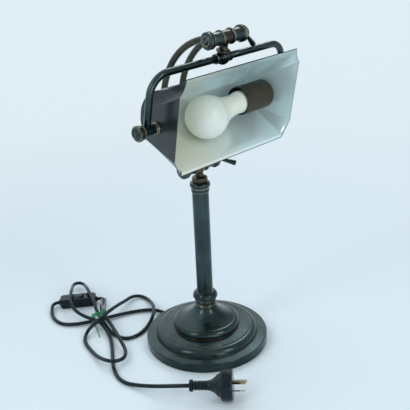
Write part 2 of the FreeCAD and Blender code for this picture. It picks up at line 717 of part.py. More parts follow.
def make_bulb():
    """The bulb sags a little in its holder, towards the opening and down."""
    seat = Vector(84.0, 1.2, 1.1)
    dome_centre = Vector(-22.5, -5.3, -4.8)
    way = dome_centre - seat
    middle = way.Length
    turn = SHADE.multiply(Rotation(Vector(0, 0, 1), way))
    corner = SHADE.multVec(seat)
    base = (corner.x, dim.pivot_depth + corner.y, dim.pivot_height + corner.z)
    seam_depth = 18.0
    seam = middle - seam_depth
    ball = number(dim.bulb_radius)
    seam_radius = math.sqrt(ball ** 2 - (seam_depth - 0.05) ** 2)
    pole = middle + ball
    side = middle + ball * 0.6
    keep(turned("CapBody", [
        (0, 0), (8.0, 0), (dim.cap_radius, 2.0), (dim.cap_radius, 25.0), (0, 25.0)], base, turn), "bulb_cap")
    wall = 1.6
    inner = ball - wall
    inner_seam = math.sqrt(inner ** 2 - (seam_depth - 0.05) ** 2)
    keep(turned("NeckBody", [
        (0, 25.1), (12.2, 25.1), (15.0, 27.5), (16.6, 33.0), (17.0, 42.0, -74.0),
        (seam_radius + 0.4, seam - 0.6), (seam_radius + 0.4, seam), (seam_radius - 3.0, seam),
        (seam_radius - 3.0, seam - 3.0, 74.0),
        (14.4, 42.0), (13.6, 33.0), (0, 33.0)], base, turn), "bulb_neck")
    keep(turned("GlobeBody", [
        (seam_radius, seam + 0.05, ball), (ball, middle, ball), (ball * 0.8, side, ball), (0, pole),
        (0, pole - wall, -inner), (inner * 0.8, middle + inner * 0.6, -inner), (inner, middle, -inner),
        (inner_seam, seam + 0.05),
    ], base, turn), "bulb_globe")


# Inline switch on the cord, drawn in its own frame: lengthwise, across and up from the table

def on_switch(lengthwise, across, up):
    spot = Rotation(Vector(0, 0, 1), SWITCH_TURN).multVec(Vector(lengthwise, across, 0))
    return (SWITCH_PLACE[0] + spot.x, SWITCH_PLACE[1] + spot.y, up)


def soften_rim(body, height, radius):
    """Round the edges of a padded body that lie at one height of its own frame."""
    pad = body.Tip
    rim = [
        f"Edge{index}" for index, edge in enumerate(pad.Shape.Edges, 1)
        if all(abs(vertex.Z - height) < 0.01 for vertex in edge.Vertexes)
    ]
    fillet = body.newObject("PartDesign::Fillet", "Rim")
    fillet.Base = (pad, rim)
    fillet.Radius = radius


def switch_shell(name, low, high, rounded_rim, hollow_low, hollow_high):
    """Half of the switch's case: a hollow pad with one rounded rim, and half a collar at each end."""
    turn = Rotation(Vector(0, 0, 1), SWITCH_TURN)
    half, width, wall = dim.switch_length / 2, dim.switch_width / 2, dim.switch_wall
    corner = 7.0
    lengthwise = turn.multiply(TO_RIGHT)
    middle = on_switch(0, 0, dim.switch_height / 2)
    collar_end, reach = 32.5, 40.0
    outer = padded(name + "_pad", rounded(half, width, corner), high - low, on_switch(0, 0, low), turn)
    doc.recompute()
    soften_rim(outer, rounded_rim, 2.6)
    hollow = padded(name + "_hollow", rounded(half - wall, width - wall, corner - number(wall)),
                    hollow_high - hollow_low, on_switch(0, 0, hollow_low), turn)
    collar = rod(name + "_collar", 5.0, collar_end * 2, shifted(middle, -collar_end, lengthwise), lengthwise)
    own_side = block(name + "_side", reach * 2, 40, high - low, on_switch(-reach, -20, low), turn)
    half_collar = doc.addObject("Part::Common", name + "_half_collar")
    half_collar.Base = collar
    half_collar.Tool = own_side
    bore_end = shifted(middle, -reach, lengthwise)
    cord_bore = rod(name + "_bore", dim.cord_radius + 0.02, reach * 2, bore_end, lengthwise)
    return cut(name + "_cut", joined(name + "_blank", outer, half_collar), hollow, cord_bore)


def make_switch():
    turn = Rotation(Vector(0, 0, 1), SWITCH_TURN)
    foot = 0.3
    split = number(dim.switch_height) / 2
    top = number(dim.switch_height)
    wall = number(dim.switch_wall)
    keep(switch_shell("CaseLower", foot, split, 0.0, foot + wall, split + 1.0), "switch_lower")
    upper = switch_shell("CaseUpper", split + 0.05, top, top - split - 0.05, split - 1.0, top - wall)
    window = block("SwitchWindow", 19.4, 12.4, 10.0, on_switch(-9.7, -6.2, 12.0), turn)
    across = turn.multiply(Rotation(Vector(1, 0, 0), -90))
    pin_half = 8.6
    ears = [block("PinEar", 5.0, 2.6, 4.0, on_switch(-2.5, edge, 11.4), turn) for edge in (-9.4, 6.8)]
    bore_half = pin_half + 0.05
    pin_bore = rod(
        "PinBore", dim.rocker_pin + 0.05, bore_half * 2, on_switch(0, -bore_half, ROCKER_HEIGHT), across)
    keep(cut("SwitchWindowCut", joined("EaredCase", upper, *ears), window, pin_bore), "switch_upper")
    screws = [rod("Screw", 1.5, 9.0, on_switch(x, 0, foot + wall + 0.1)) for x in (-20.0, 20.0)]
    keep(joined("ScrewPair", *screws), "switch_screws")
    rocker = padded("RockerBody", [
        (-8.6, -1.5), (8.6, -1.5), (8.6, 4.6), (8.2, 5.2, -30.0), (-8.2, 5.2), (-8.6, 4.6)], 11.6,
        on_switch(0, 0, ROCKER_HEIGHT), turn.multiply(Rotation(Vector(0, 1, 0), ROCKER_REST)),
        role="XZ_Plane", middle=True)
    pin = rod("RockerPin", dim.rocker_pin, pin_half * 2, on_switch(0, -pin_half, ROCKER_HEIGHT), across)
    keep(joined("PinnedRocker", rocker, pin), "switch_rocker")


# Plug with a ribbed relief, a flat round face and three flat pins; two of the pins have sleeved roots

def make_plug():
    aim = Rotation(Vector(0, 0, 1), PLUG_AIM)
    relief = [(0, 0), (7.6, 0), (8.5, 1.0), (8.5, 4.2), (7.4, 5.4), (5.8, 6.0)]
    rib_start, rib_pitch, ribs = 7.4, 4.3, 4
    for rib in range(ribs):
        low = rib_start + rib * rib_pitch
        relief += [(5.8, low), (6.9, low + 0.4), (6.9, low + 2.6), (5.8, low + 3.0)]
    keep(turned("PlugBody", relief + [
        (6.9, 25.0), (7.1, 27.0, -18.0), (12.5, 36.9, 12.0), (16.6, 43.0), (17.4, 43.7), (20.4, 44.2, 3.4),
        (dim.plug_radius, 47.0), (dim.plug_radius, PLUG_FACE - 3.0, 3.4), (19.8, PLUG_FACE), (0, PLUG_FACE),
    ], PLUG_PLACE, aim), "plug_body")
    pins, sleeves = [], []
    sleeve = 9.0
    full = (dim.pin_width, dim.pin_thickness)
    necked = (5.2, 0.8)
    for angle, radius, blade, length in PLUG_PINS:
        if length > 18:
            pins.append(plug_block("EarthPin", angle, radius, blade, full, 0, length))
            continue
        pins.append(plug_block("PinRoot", angle, radius, blade, necked, 0, sleeve))
        pins.append(plug_block("PinBlade", angle, radius, blade, full, sleeve, length))
        skin = plug_block("Sleeve", angle, radius, blade, full, 0, sleeve)
        core = plug_block("SleeveCore", angle, radius, blade, necked, -1, sleeve + 1)
        sleeves.append(cut("SleeveCut", skin, core))
    keep(joined("Pins", *pins), "plug_pins")
    keep(joined("Sleeves", *sleeves), "plug_sleeves")


def plug_block(name, angle, radius, blade, section, low, high):
    """A flat block on the plug's face, at an angle and a radius from its centre, turned as its blade."""
    width, thickness = section
    aim = Rotation(Vector(0, 0, 1), PLUG_AIM)
    turn = aim.multiply(Rotation(Vector(0, 0, 1), blade))
    spot = Rotation(Vector(0, 0, 1), angle).multVec(Vector(radius, 0, PLUG_FACE + low))
    corner = aim.multVec(spot) + turn.multVec(Vector(-number(width) / 2, -number(thickness) / 2, 0))
    return block(name, width, thickness, high - low, tuple(p + q for p, q in zip(PLUG_PLACE, corner)), turn)


# Cord: straight runs joined by arcs as wide as the runs allow, with tight folds at both ends of the switch

LEAD_ROUTE = [
    (0, 100.5, 6), (0.3, 112, 5.2), (-6, 129, 3.8), (-25, 143, 3.8), (-51, 155, 4.4), (-79, 166, 4.4),
    (-106, 178.5, 4.4), (-121.5, 190.5, 3.9), (-130.5, 203, 3.3), (-132.8, 216.5, 3.2),
    (-130.8, 230.5, 3.2), (-125.5, 243, 3.4), (-118.2, 253.8, 4.8), (-111.7, 261.4, 6.4),
    (-107.1, 263.3, 7.3), (-102.1, 262.6, 8), (-98.2, 259.5, 8.5),
]
LOOPS_ROUTE = [
    (-47.2, 219.2, 8.5), (-41.7, 214.9, 8.5), (-41.7, 207.9, 8.6), (-48.5, 200.5, 9.2), (-64.6, 188.4, 11),
    (-76.6, 164.6, 12.4), (-83.2, 143.9, 12.4), (-93.1, 118.2, 13.6), (-104.4, 90.9, 13.6),
    (-109.3, 75.5, 9), (-113.8, 65, 7), (-119.8, 54.8, 7.6), (-130.2, 46.8, 10), (-142.6, 46.6, 13.2),
    (-152.4, 55.6, 13.2), (-155, 69.5, 8.8), (-152.5, 87, 5), (-148.2, 105, 3.4), (-141.5, 130.5, 3.2),
    (-131.8, 144.3, 3.6), (-121.2, 150.7, 7), (-113, 149.4, 13.2), (-105.7, 146, 18.6), (-94.4, 147.5, 21),
    (-77.5, 153.2, 21), (-59.9, 159.6, 18.6), (-36.8, 168.7, 14), (-22, 174.5, 10), (-5, 181, 6.5),
    (8, 178.8, 4.6), (16.2, 169.4, 3.6), (17.5, 156.5, 4.8), (9.5, 139.5, 9.5), (-4, 120.5, 13.2),
    (-21, 102.4, 13.2), (-37.6, 94.2, 6), (-53.2, 89.1, 3.2), (-72.1, 85.2, 3.2), (-86.5, 89.2, 3.2),
    (-93.5, 99.1, 3.2), (-94.8, 117.2, 3.2), (-90.5, 136.8, 4.2), (-88.1, 149.3, 7.2), (-86.1, 160.6, 10.6),
    (-82.3, 172.8, 15.6), (-76, 187.1, 21.5), (-66.3, 207.1, 23.8), (-53.4, 236, 23.8),
    (-44.8, 252.5, 18.5), (-38.1, 264.6, 13), (-30.3, 276.4, 9.5), (-33.1, 285.3, 8), (-41.1, 290.3, 8),
    (-50.4, 288.7, 10), (-62.7, 269.5, 17), (-75.4, 253.8, 23.6), (-94.5, 230.9, 23.6), (-100.2, 219.2, 19),
    (-102.9, 204.6, 14.4), (-101.3, 185.2, 12.4), (-98.0, 169.15, 12.4),
]
PLUG_ROUTE = [
    (-98.0, 169.15, 12.4), (-94.7, 153.1, 12.4), (-96.5, 137.6, 9), (-101.4, 120.5, 5.4),
    (-110.9, 103.5, 3.4), (-124.2, 84.2, 3.2), (-140.9, 62.7, 3.2), (-156.2, 41.2, 3.2),
    (-165.2, 19.7, 3.2), (-165.4, 1.8, 3.2), (-158.6, -17.6, 5.6), (-151.1, -39, 10.4),
    (-142.2, -59.2, 15.6), (-133.8, -75.1, 19.2),
    PLUG_PLACE,
]
INNER_ROUTE = [
    (0, 93.6, 6.0), (0, 80, 6.0), (0, 60, 5.4), (0, 34, 4.0), (0, 16, 3.1), (0, 6.2, 2.3), (0, 0, 2.3),
    (0, 0.1, 8), (0, 0, 30), (0, 0.4, 257.5),
]


def cord_path(points):
    """Edges of straight runs and tangent arcs; each arc takes 0.45 of the shorter run beside its point."""
    corners = [Vector(*point) for point in points]
    edges, radii = [], []
    start = corners[0]
    for before, corner, after in zip(corners, corners[1:], corners[2:]):
        back, ahead = before - corner, after - corner
        reach = 0.45 * min(back.Length, ahead.Length)
        turn = math.pi - back.getAngle(ahead)
        radii.append(reach / math.tan(turn / 2))
        back.normalize()
        ahead.normalize()
        first, last = corner + back * reach, corner + ahead * reach
        inside = (back + ahead).normalize()
        middle = corner + inside * (radii[-1] / math.cos(turn / 2) - radii[-1])
        edges.append(Part.LineSegment(start, first).toShape())
        edges.append(Part.Arc(first, middle, last).toShape())
        start = last
    edges.append(Part.LineSegment(start, corners[-1]).toShape())
    return edges, radii


def tube(name, points, radius, min_radius=0.0):
    edges, radii = cord_path(points)
    way = edges[0].tangentAt(edges[0].FirstParameter)
    section = Part.Wire(Part.makeCircle(radius, Vector(*points[0]), way))
    shape = Part.Wire(edges).makePipeShell([section], True, False)
    length = sum(edge.Length for edge in edges)
    ratio = shape.Volume / (math.pi * radius ** 2 * length)
    print(f"{name}: length {length:.0f}, least radius {min(radii):.1f}, volume ratio {ratio:.4f}")
    if min(radii) < min_radius:
        print(f"{name}: a bend is tighter than {min_radius:.1f}")
    keep(free_shape(name + "_tube", shape), name)
    return edges


def path_points(edges, step=2.0):
    """Points along a path, each with its distance from the start."""
    spots = []
    travelled = 0.0
    for edge in edges:
        count = max(2, int(edge.Length / step) + 1)
        for index, point in enumerate(edge.discretize(count)[:-1]):
            spots.append((travelled + edge.Length * index / (count - 1), point))
        travelled += edge.Length
    return spots


def least_gap(spots, others, radius, apart=0.0):
    """The least gap between two cord paths, or of one path to itself beyond a distance along it."""
    pairs = ((here - there, abs(at - other)) for at, here in spots for other, there in others)
    gaps = [between.Length for between, along in pairs if along >= apart]
    return min(gaps) - 2 * radius


def make_cords():
    radius = number(dim.cord_radius)
    limp = 6 * radius
    fold = 2 * radius
    lead = path_points(tube("cord_base_lead", LEAD_ROUTE, radius, fold))
    loops = path_points(tube("cord_loops", LOOPS_ROUTE, radius, fold))
    tail = path_points(tube("cord_plug_lead", PLUG_ROUTE, radius, limp))
    print(f"loops to themselves: least gap {least_gap(loops, loops, radius, 30):.2f}")
    print(f"loops to the base lead: least gap {least_gap(loops, lead, radius):.2f}")
    print(f"loops to the plug lead: least gap {least_gap(loops[:-20], tail[15:], radius):.2f}")
    tube("inner_lead", INNER_ROUTE, number(dim.lead_radius))


def make_tie():
    """A twist tie round the crossing of the loops, a flat strip bent to a rounded rectangle."""
    strip = 0.8
    low, high = 0.3, 24.8
    body = doc.addObject("PartDesign::Body", "TieBody")
    sketch = sketch_on(body, "XZ_Plane")
    half = 15.8
    rise = (high - low) / 2
    corner = 3.0
    draw_path(sketch, rounded(half, rise, corner))
    draw_path(sketch, rounded(half - strip, rise - strip, corner - strip))
    pad = body.newObject("PartDesign::Pad", "Strip")
    pad.Profile = sketch
    pad.Midplane = True
    pad.Length = 4.0
    keep(put(body, (-77.6, 164.8, low + rise), Rotation(Vector(0, 0, 1), -60)), "bundle_tie")


make_base()
make_column()
make_knuckles()
for level, axis in (("lower", LOWER_AXIS), ("upper", UPPER_AXIS)):
    make_barrels(level, axis)
arm("arm_left", -1)
arm("arm_right", 1)
make_lever("lower", LOWER_AXIS, 62.0)
make_lever("upper", UPPER_AXIS, -7.0)
yoke_tube("yoke_tube_left", -1)
yoke_tube("yoke_tube_right", 1)
make_hub()
make_pivots()
make_trough()
make_end_panels()
make_holder()
make_bulb()
make_switch()
make_plug()
make_cords()
make_tie()
doc.recompute()

for item in doc.Objects:
    if "Invalid" in item.State or "Error" in item.State:
        raise RuntimeError(f"{item.Label} did not recompute: {item.State}")
for item in nodes:
    if item.Shape.isNull() or not item.Shape.isValid():
        raise RuntimeError(f"{item.Label} has no valid shape")

os.makedirs("parts", exist_ok=True)
for item in nodes:
    item.Shape.exportStep(f"parts/{item.Label}.step")
print(f"{len(nodes)} parts written")
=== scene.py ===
import json
import math

import bmesh
import bpy
import numpy as np
from mathutils import Matrix


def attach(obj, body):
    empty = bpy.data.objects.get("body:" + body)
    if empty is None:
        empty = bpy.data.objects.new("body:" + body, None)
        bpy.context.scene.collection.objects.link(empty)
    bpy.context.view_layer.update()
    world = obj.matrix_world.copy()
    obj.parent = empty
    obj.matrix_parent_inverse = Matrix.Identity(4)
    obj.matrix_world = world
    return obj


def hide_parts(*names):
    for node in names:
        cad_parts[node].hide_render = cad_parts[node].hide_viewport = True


# A bankers lamp in aged bronze: round stepped base, column, swing arms, yoke, trough shade, bulb, tied cord.
# Outlines are in millimetres, in each piece's own frame, and turn into metres as their mesh is made.

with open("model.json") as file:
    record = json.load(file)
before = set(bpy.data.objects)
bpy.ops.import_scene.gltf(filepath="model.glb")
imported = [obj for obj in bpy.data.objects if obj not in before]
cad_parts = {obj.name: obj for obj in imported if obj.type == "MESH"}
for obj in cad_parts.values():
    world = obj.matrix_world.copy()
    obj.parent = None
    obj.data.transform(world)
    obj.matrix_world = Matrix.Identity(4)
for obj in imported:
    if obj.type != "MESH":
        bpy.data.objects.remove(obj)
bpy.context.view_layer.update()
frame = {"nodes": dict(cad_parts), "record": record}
record = frame["record"]
bodyOf = {node: body for body, nodes in record["behaviour"]["bodies"].items() for node in nodes}
mm = 0.001
print("frame loaded:", len(bodyOf), "nodes")


# Camera, floor and lights

cameraView = {"place": (-0.71832, -0.74384, 0.67513), "heading": -44.326, "pitch": 23.346, "roll": -2.595,
              "lens": 67.51, "sensor": 36.0}
camera = bpy.data.objects.new("camera", bpy.data.cameras.new("camera"))
bpy.context.scene.collection.objects.link(camera)
camera.data.lens = cameraView["lens"]
camera.data.sensor_width = cameraView["sensor"]
camera.matrix_world = (
    Matrix.Translation(cameraView["place"])
    @ Matrix.Rotation(math.radians(cameraView["heading"]), 4, "Z")
    @ Matrix.Rotation(math.radians(90.0 - cameraView["pitch"]), 4, "X")
    @ Matrix.Rotation(math.radians(cameraView["roll"]), 4, "Z")
)
bpy.context.scene.camera = camera
bpy.context.scene.view_settings.view_transform = "Standard"


# Shader maths: a wire holds one socket, and sums, products and differences on it add Math nodes

class Wire:
    def __init__(self, tree, out):
        # a socket and the tree that it is in
        self.tree = tree
        self.out = out

    def add(self, kind, settings=None, values=None, pick=0):
        # any node: its settings first, then the values or links of its sockets
        node = self.tree.nodes.new(kind)
        for field, value in (settings or {}).items():
            setattr(node, field, value)
        for socket, value in (values or {}).items():
            if isinstance(value, Wire):
                self.tree.links.new(value.out, node.inputs[socket])
            else:
                node.inputs[socket].default_value = value
        return Wire(self.tree, node.outputs[pick])

    def math(self, operation, first, second):
        # a Math node on two wires or numbers
        return self.add("ShaderNodeMath", {"operation": operation}, {0: first, 1: second})

    def __add__(self, other):
        return self.math("ADD", self, other)

    def __mul__(self, other):
        return self.math("MULTIPLY", self, other)

    def __rsub__(self, other):
        return self.math("SUBTRACT", other, self)

    __radd__ = __add__
    __rmul__ = __mul__

    def between(self, low, high):
        # 0 below low, 1 above high, straight between
        return self.add("ShaderNodeMapRange", None, {"Value": self, "From Min": low, "From Max": high})

    def mix(self, first, second):
        # a colour from first to second as the wire goes from 0 to 1
        return self.add("ShaderNodeMix", {"data_type": "RGBA"}, {0: self, 6: first, 7: second}, 2)

    def noise(self, scale, detail=3.0, roughness=0.55):
        # cloudy noise with so many waves to the metre
        return self.add("ShaderNodeTexNoise", None,
                        {"Vector": self, "Scale": scale, "Detail": detail, "Roughness": roughness})

    def stretched(self, scale):
        # the place, stretched along its axes
        return self.add("ShaderNodeMapping", None, {"Vector": self, "Scale": scale})

    def mark(self, name):
        # a number that the mesh keeps at each point
        return self.add("ShaderNodeAttribute", {"attribute_name": name}, None, "Fac")

    def bump(self, strength, distance):
        # the surface raised by the wire, in metres
        return self.add("ShaderNodeBump", None, {"Height": self, "Strength": strength, "Distance": distance})

    def looking(self):
        # 1 for a ray from the eye or one seen in metal or glass, 0 for a ray that carries light
        seen = self.add("ShaderNodeLightPath", None, None, "Is Camera Ray")
        mirrored = self.add("ShaderNodeLightPath", None, None, "Is Glossy Ray")
        through = self.add("ShaderNodeLightPath", None, None, "Is Transmission Ray")
        return seen + mirrored + through


def rgba(colour):
    # an opaque colour
    return (*colour, 1.0)


def newMaterial(name):
    # a material with a principled shader: its object coordinates, and the way to set the shader's sockets
    material = bpy.data.materials.new(name)
    material.use_nodes = True
    tree = material.node_tree
    shader = next(node for node in tree.nodes if node.type == "BSDF_PRINCIPLED")
    place = Wire(tree, None).add("ShaderNodeTexCoord", None, None, "Object")

    def surface(**values):
        # sets or links the shader's sockets, whose names have underscores for spaces here
        for socket, value in values.items():
            socket = socket.replace("_", " ")
            if isinstance(value, Wire):
                tree.links.new(value.out, shader.inputs[socket])
            else:
                shader.inputs[socket].default_value = value
        return material

    return place, surface


stageLook = {"floor": (0.69, 0.78, 0.84), "backdrop": (0.73, 0.83, 0.89), "horizon": (0.17, 0.18, 0.19),
             "overhead": (0.66, 0.70, 0.72), "glow": (1.4, 1.5, 1.55), "behind": (0.10, 0.75, 0.65),
             "glowEdge": (0.62, 0.98), "wallEdge": (0.20, 0.45), "floorEdge": (0.40, 1.25), "size": 12.0}


def makeFloor():
    # a pale sheet: near the lamp it takes light and shadow, far away the eye and the metal see its plain colour
    place, surface = newMaterial("paleFloor")
    distance = place.add("ShaderNodeVectorMath", {"operation": "LENGTH"}, {0: place}, "Value")
    own = distance.between(*stageLook["floorEdge"]) * place.looking()
    dark = rgba((0.0, 0.0, 0.0))
    surface(Base_Color=own.mix(rgba(stageLook["floor"]), dark), Emission_Strength=1.0, Roughness=0.9,
            Emission_Color=own.mix(dark, rgba(stageLook["backdrop"])), Specular_IOR_Level=0.1)
    half = stageLook["size"] / 2
    mesh = bpy.data.meshes.new("floor")
    mesh.from_pydata([(-half, -half, 0), (half, -half, 0), (half, half, 0), (-half, half, 0)], [], [(0, 1, 2, 3)])
    mesh.materials.append(bpy.data.materials["paleFloor"])
    floor = bpy.data.objects.new("floor", mesh)
    bpy.context.scene.collection.objects.link(floor)


def makeWorld():
    # the room is dim at the horizon, bright overhead and brightest half way up behind the lamp
    world = bpy.data.worlds.new("studio")
    bpy.context.scene.world = world
    world.use_nodes = True
    tree = world.node_tree
    way = Wire(tree, None).add("ShaderNodeTexCoord", None, None, "Generated")
    rise = way.add("ShaderNodeSeparateXYZ", None, {0: way}, 2).between(0.0, 1.0)
    behind = way.add("ShaderNodeVectorMath", {"operation": "DOT_PRODUCT"}, {0: way, 1: stageLook["behind"]}, "Value")
    sky = rise.mix(rgba(stageLook["horizon"]), rgba(stageLook["overhead"]))
    sky = behind.between(*stageLook["glowEdge"]).mix(sky, rgba(stageLook["glow"]))
    # the eye, metal and glass see the pale backdrop round the horizon
    wall = (1 - rise.between(*stageLook["wallEdge"])) * way.looking()
    sky = wall.mix(sky, rgba(stageLook["backdrop"]))
    tree.links.new(sky.out, tree.nodes["Background"].inputs["Color"])


softBoxes = [
    {"name": "leftBox", "place": (-1.6, 0.1, 1.25), "aim": (0.0, 0.0, 0.2), "size": (0.5, 1.0), "power": 8.0,
     "colour": (0.93, 0.98, 1.0)},
    {"name": "rightBox", "place": (0.15, -1.6, 1.15), "aim": (0.0, 0.0, 0.2), "size": (0.5, 0.8), "power": 7.0,
     "colour": (0.95, 0.98, 0.97)},
    {"name": "overheadBox", "place": (1.1, 0.55, 1.5), "aim": (0.0, 0.0, 0.2), "size": (0.25, 0.6), "power": 5.0,
     "colour": (0.93, 0.97, 1.0)},
    {"name": "frontBox", "place": (-0.7, -1.5, 0.35), "aim": (0.0, -0.05, 0.4), "size": (0.9, 0.6), "power": 4.5,
     "colour": (1.0, 1.0, 0.98)},
]


def makeLights():
    # each soft box is a rectangle of light at its place, turned to what it is aimed at
    for box in softBoxes:
        lamp = bpy.data.lights.new(box["name"], "AREA")
        lamp.shape = "RECTANGLE"
        lamp.size, lamp.size_y = box["size"]
        lamp.energy = box["power"]
        lamp.color = box["colour"]
        holder = bpy.data.objects.new(box["name"], lamp)
        bpy.context.scene.collection.objects.link(holder)
        way = np.array(box["aim"]) - np.array(box["place"])
        heading = math.atan2(-way[0], way[1])
        pitch = math.atan2(way[2], math.hypot(way[0], way[1]))
        holder.matrix_world = (
            Matrix.Translation(box["place"])
            @ Matrix.Rotation(heading, 4, "Z")
            @ Matrix.Rotation(math.pi / 2 + pitch, 4, "X")
        )


makeFloor()
makeWorld()
makeLights()
print("stage set")


# Materials

def bronze(name, look):
    # lacquered dark bronze: cloudy colour, brown in the grooves, rubbed to brass here and there on the edges
    place, surface = newMaterial(name)
    cloud = place.noise(look["cloud"], 4.0).between(0.38, 0.66)
    fine = place.noise(900.0, 2.0)
    flecks = place.noise(170.0, 3.0, 0.7)
    handled = place.noise(24.0, 2.0).between(0.44, 0.60) * (1 - look["everywhere"]) + look["everywhere"]
    rubbed = (place.mark("worn") * (place.noise(90.0, 4.0) * 2.0)).between(look["rubFrom"], look["rubTo"]) * handled
    dusty = (place.mark("grime") * (place.noise(45.0, 3.0) * 1.8)).between(0.25, 0.95) * look["grimeShare"]
    colour = cloud.mix(rgba(look["dark"]), rgba(look["light"]))
    colour = (flecks.between(0.62, 0.75) * 0.35).mix(colour, rgba(look["fleck"]))
    colour = dusty.mix(colour, rgba(look["grime"]))
    colour = rubbed.mix(colour, rgba(look["brass"]))
    return surface(
        Base_Color=colour,
        Metallic=0.85 + rubbed * 0.1,
        Roughness=look["roughness"] + fine * 0.08 + cloud * 0.06 + dusty * 0.15,
        Coat_Weight=look["coat"], Coat_Roughness=0.06, Specular_IOR_Level=0.4,
        Normal=(fine * 0.3 + flecks).bump(0.10, 0.0002),
    )


bronzeLooks = {
    "darkBronze": {"dark": (0.014, 0.029, 0.031), "light": (0.044, 0.072, 0.076), "fleck": (0.07, 0.08, 0.07),
                   "brass": (0.46, 0.39, 0.25), "grime": (0.080, 0.042, 0.016), "cloud": 16.0, "rubFrom": 0.48,
                   "rubTo": 0.95, "everywhere": 0.3, "grimeShare": 0.8, "roughness": 0.22, "coat": 0.2},
    "wornBronze": {"dark": (0.030, 0.027, 0.018), "light": (0.068, 0.056, 0.034), "fleck": (0.04, 0.05, 0.05),
                   "brass": (0.46, 0.38, 0.22), "grime": (0.026, 0.020, 0.014), "cloud": 55.0, "rubFrom": 0.42,
                   "rubTo": 0.95, "everywhere": 0.6, "grimeShare": 0.8, "roughness": 0.32, "coat": 0.25},
}
bronzeLooks["jointBronze"] = {**bronzeLooks["darkBronze"], "rubFrom": 0.34, "rubTo": 0.9, "everywhere": 0.65,
                              "brass": (0.52, 0.45, 0.30)}
bronzeLooks["oliveBronze"] = {**bronzeLooks["darkBronze"], "dark": (0.026, 0.028, 0.018),
                              "light": (0.070, 0.072, 0.050), "cloud": 22.0}
looks = {name: bronze(name, look) for name, look in bronzeLooks.items()}


shadeLook = {"dark": (0.012, 0.020, 0.022), "light": (0.026, 0.038, 0.042), "dust": (0.12, 0.13, 0.14),
             "metallic": 0.35, "roughness": 0.22}


def shadePaint(name):
    # the shade's outside: smooth blue-black lacquer with a faint orange peel and specks of dust
    place, surface = newMaterial(name)
    cloud = place.noise(9.0, 3.0).between(0.35, 0.7)
    peel = place.noise(420.0, 2.0)
    dust = place.noise(1400.0, 1.0).between(0.66, 0.74) * 0.25
    colour = cloud.mix(rgba(shadeLook["dark"]), rgba(shadeLook["light"]))
    colour = dust.mix(colour, rgba(shadeLook["dust"]))
    return surface(Base_Color=colour, Metallic=shadeLook["metallic"], Roughness=shadeLook["roughness"] + cloud * 0.08,
                   Specular_IOR_Level=0.5, Normal=peel.bump(0.08, 0.0002))


# the cream colours are painted warm reflected light on the left of the inside; the mint ones are the enamel's own
enamelLook = {"paintedWarmDark": (0.72, 0.72, 0.62), "cream": (0.78, 0.78, 0.69), "mintDark": (0.70, 0.85, 0.87),
              "mint": (0.76, 0.89, 0.91), "turns": (-0.06, 0.04), "metallic": 0.4, "roughness": 0.20}


def enamel(name):
    # the shade's inside: pale mint enamel, with painted warm reflected light that makes it creamier to the left
    place, surface = newMaterial(name)
    across = place.add("ShaderNodeSeparateXYZ", None, {0: place}).between(*enamelLook["turns"])
    cloud = place.noise(11.0, 1.0)
    # painted warm light: the cream colours stand in for warm reflected light, blended into the mint across the shade
    paintedWarmLight = cloud.mix(rgba(enamelLook["paintedWarmDark"]), rgba(enamelLook["cream"]))
    minty = cloud.mix(rgba(enamelLook["mintDark"]), rgba(enamelLook["mint"]))
    return surface(Base_Color=across.mix(paintedWarmLight, minty), Metallic=enamelLook["metallic"],
                   Roughness=enamelLook["roughness"] + cloud * 0.05)


bakeliteLook = {"dark": (0.016, 0.014, 0.009), "light": (0.050, 0.038, 0.020), "scuff": (0.075, 0.070, 0.048),
                "edge": (0.09, 0.075, 0.05), "roughness": 0.38}


def bakelite(name):
    # the socket cup: brown-black, handled, with paler scuffs and edges
    place, surface = newMaterial(name)
    cloud = place.noise(26.0, 4.0, 0.65).between(0.3, 0.7)
    scuff = place.stretched((1.0, 3.0, 3.0)).noise(120.0, 4.0, 0.7).between(0.60, 0.74) * 0.5
    edge = place.mark("worn") * 0.5
    colour = cloud.mix(rgba(bakeliteLook["dark"]), rgba(bakeliteLook["light"]))
    colour = scuff.mix(colour, rgba(bakeliteLook["scuff"]))
    colour = edge.mix(colour, rgba(bakeliteLook["edge"]))
    return surface(Base_Color=colour, Roughness=bakeliteLook["roughness"] + cloud * 0.15, Metallic=0.2,
                   Specular_IOR_Level=0.35, Normal=(scuff + cloud).bump(0.1, 0.0003))


feltLook = {"dark": (0.012, 0.016, 0.013), "light": (0.04, 0.048, 0.042)}


def felt(name):
    # the ring under the base: short dull fibres
    place, surface = newMaterial(name)
    fibres = place.noise(2600.0, 3.0, 0.8)
    return surface(Base_Color=fibres.between(0.3, 0.7).mix(rgba(feltLook["dark"]), rgba(feltLook["light"])),
                   Roughness=0.95, Sheen_Weight=0.3, Normal=fibres.bump(0.6, 0.0005))


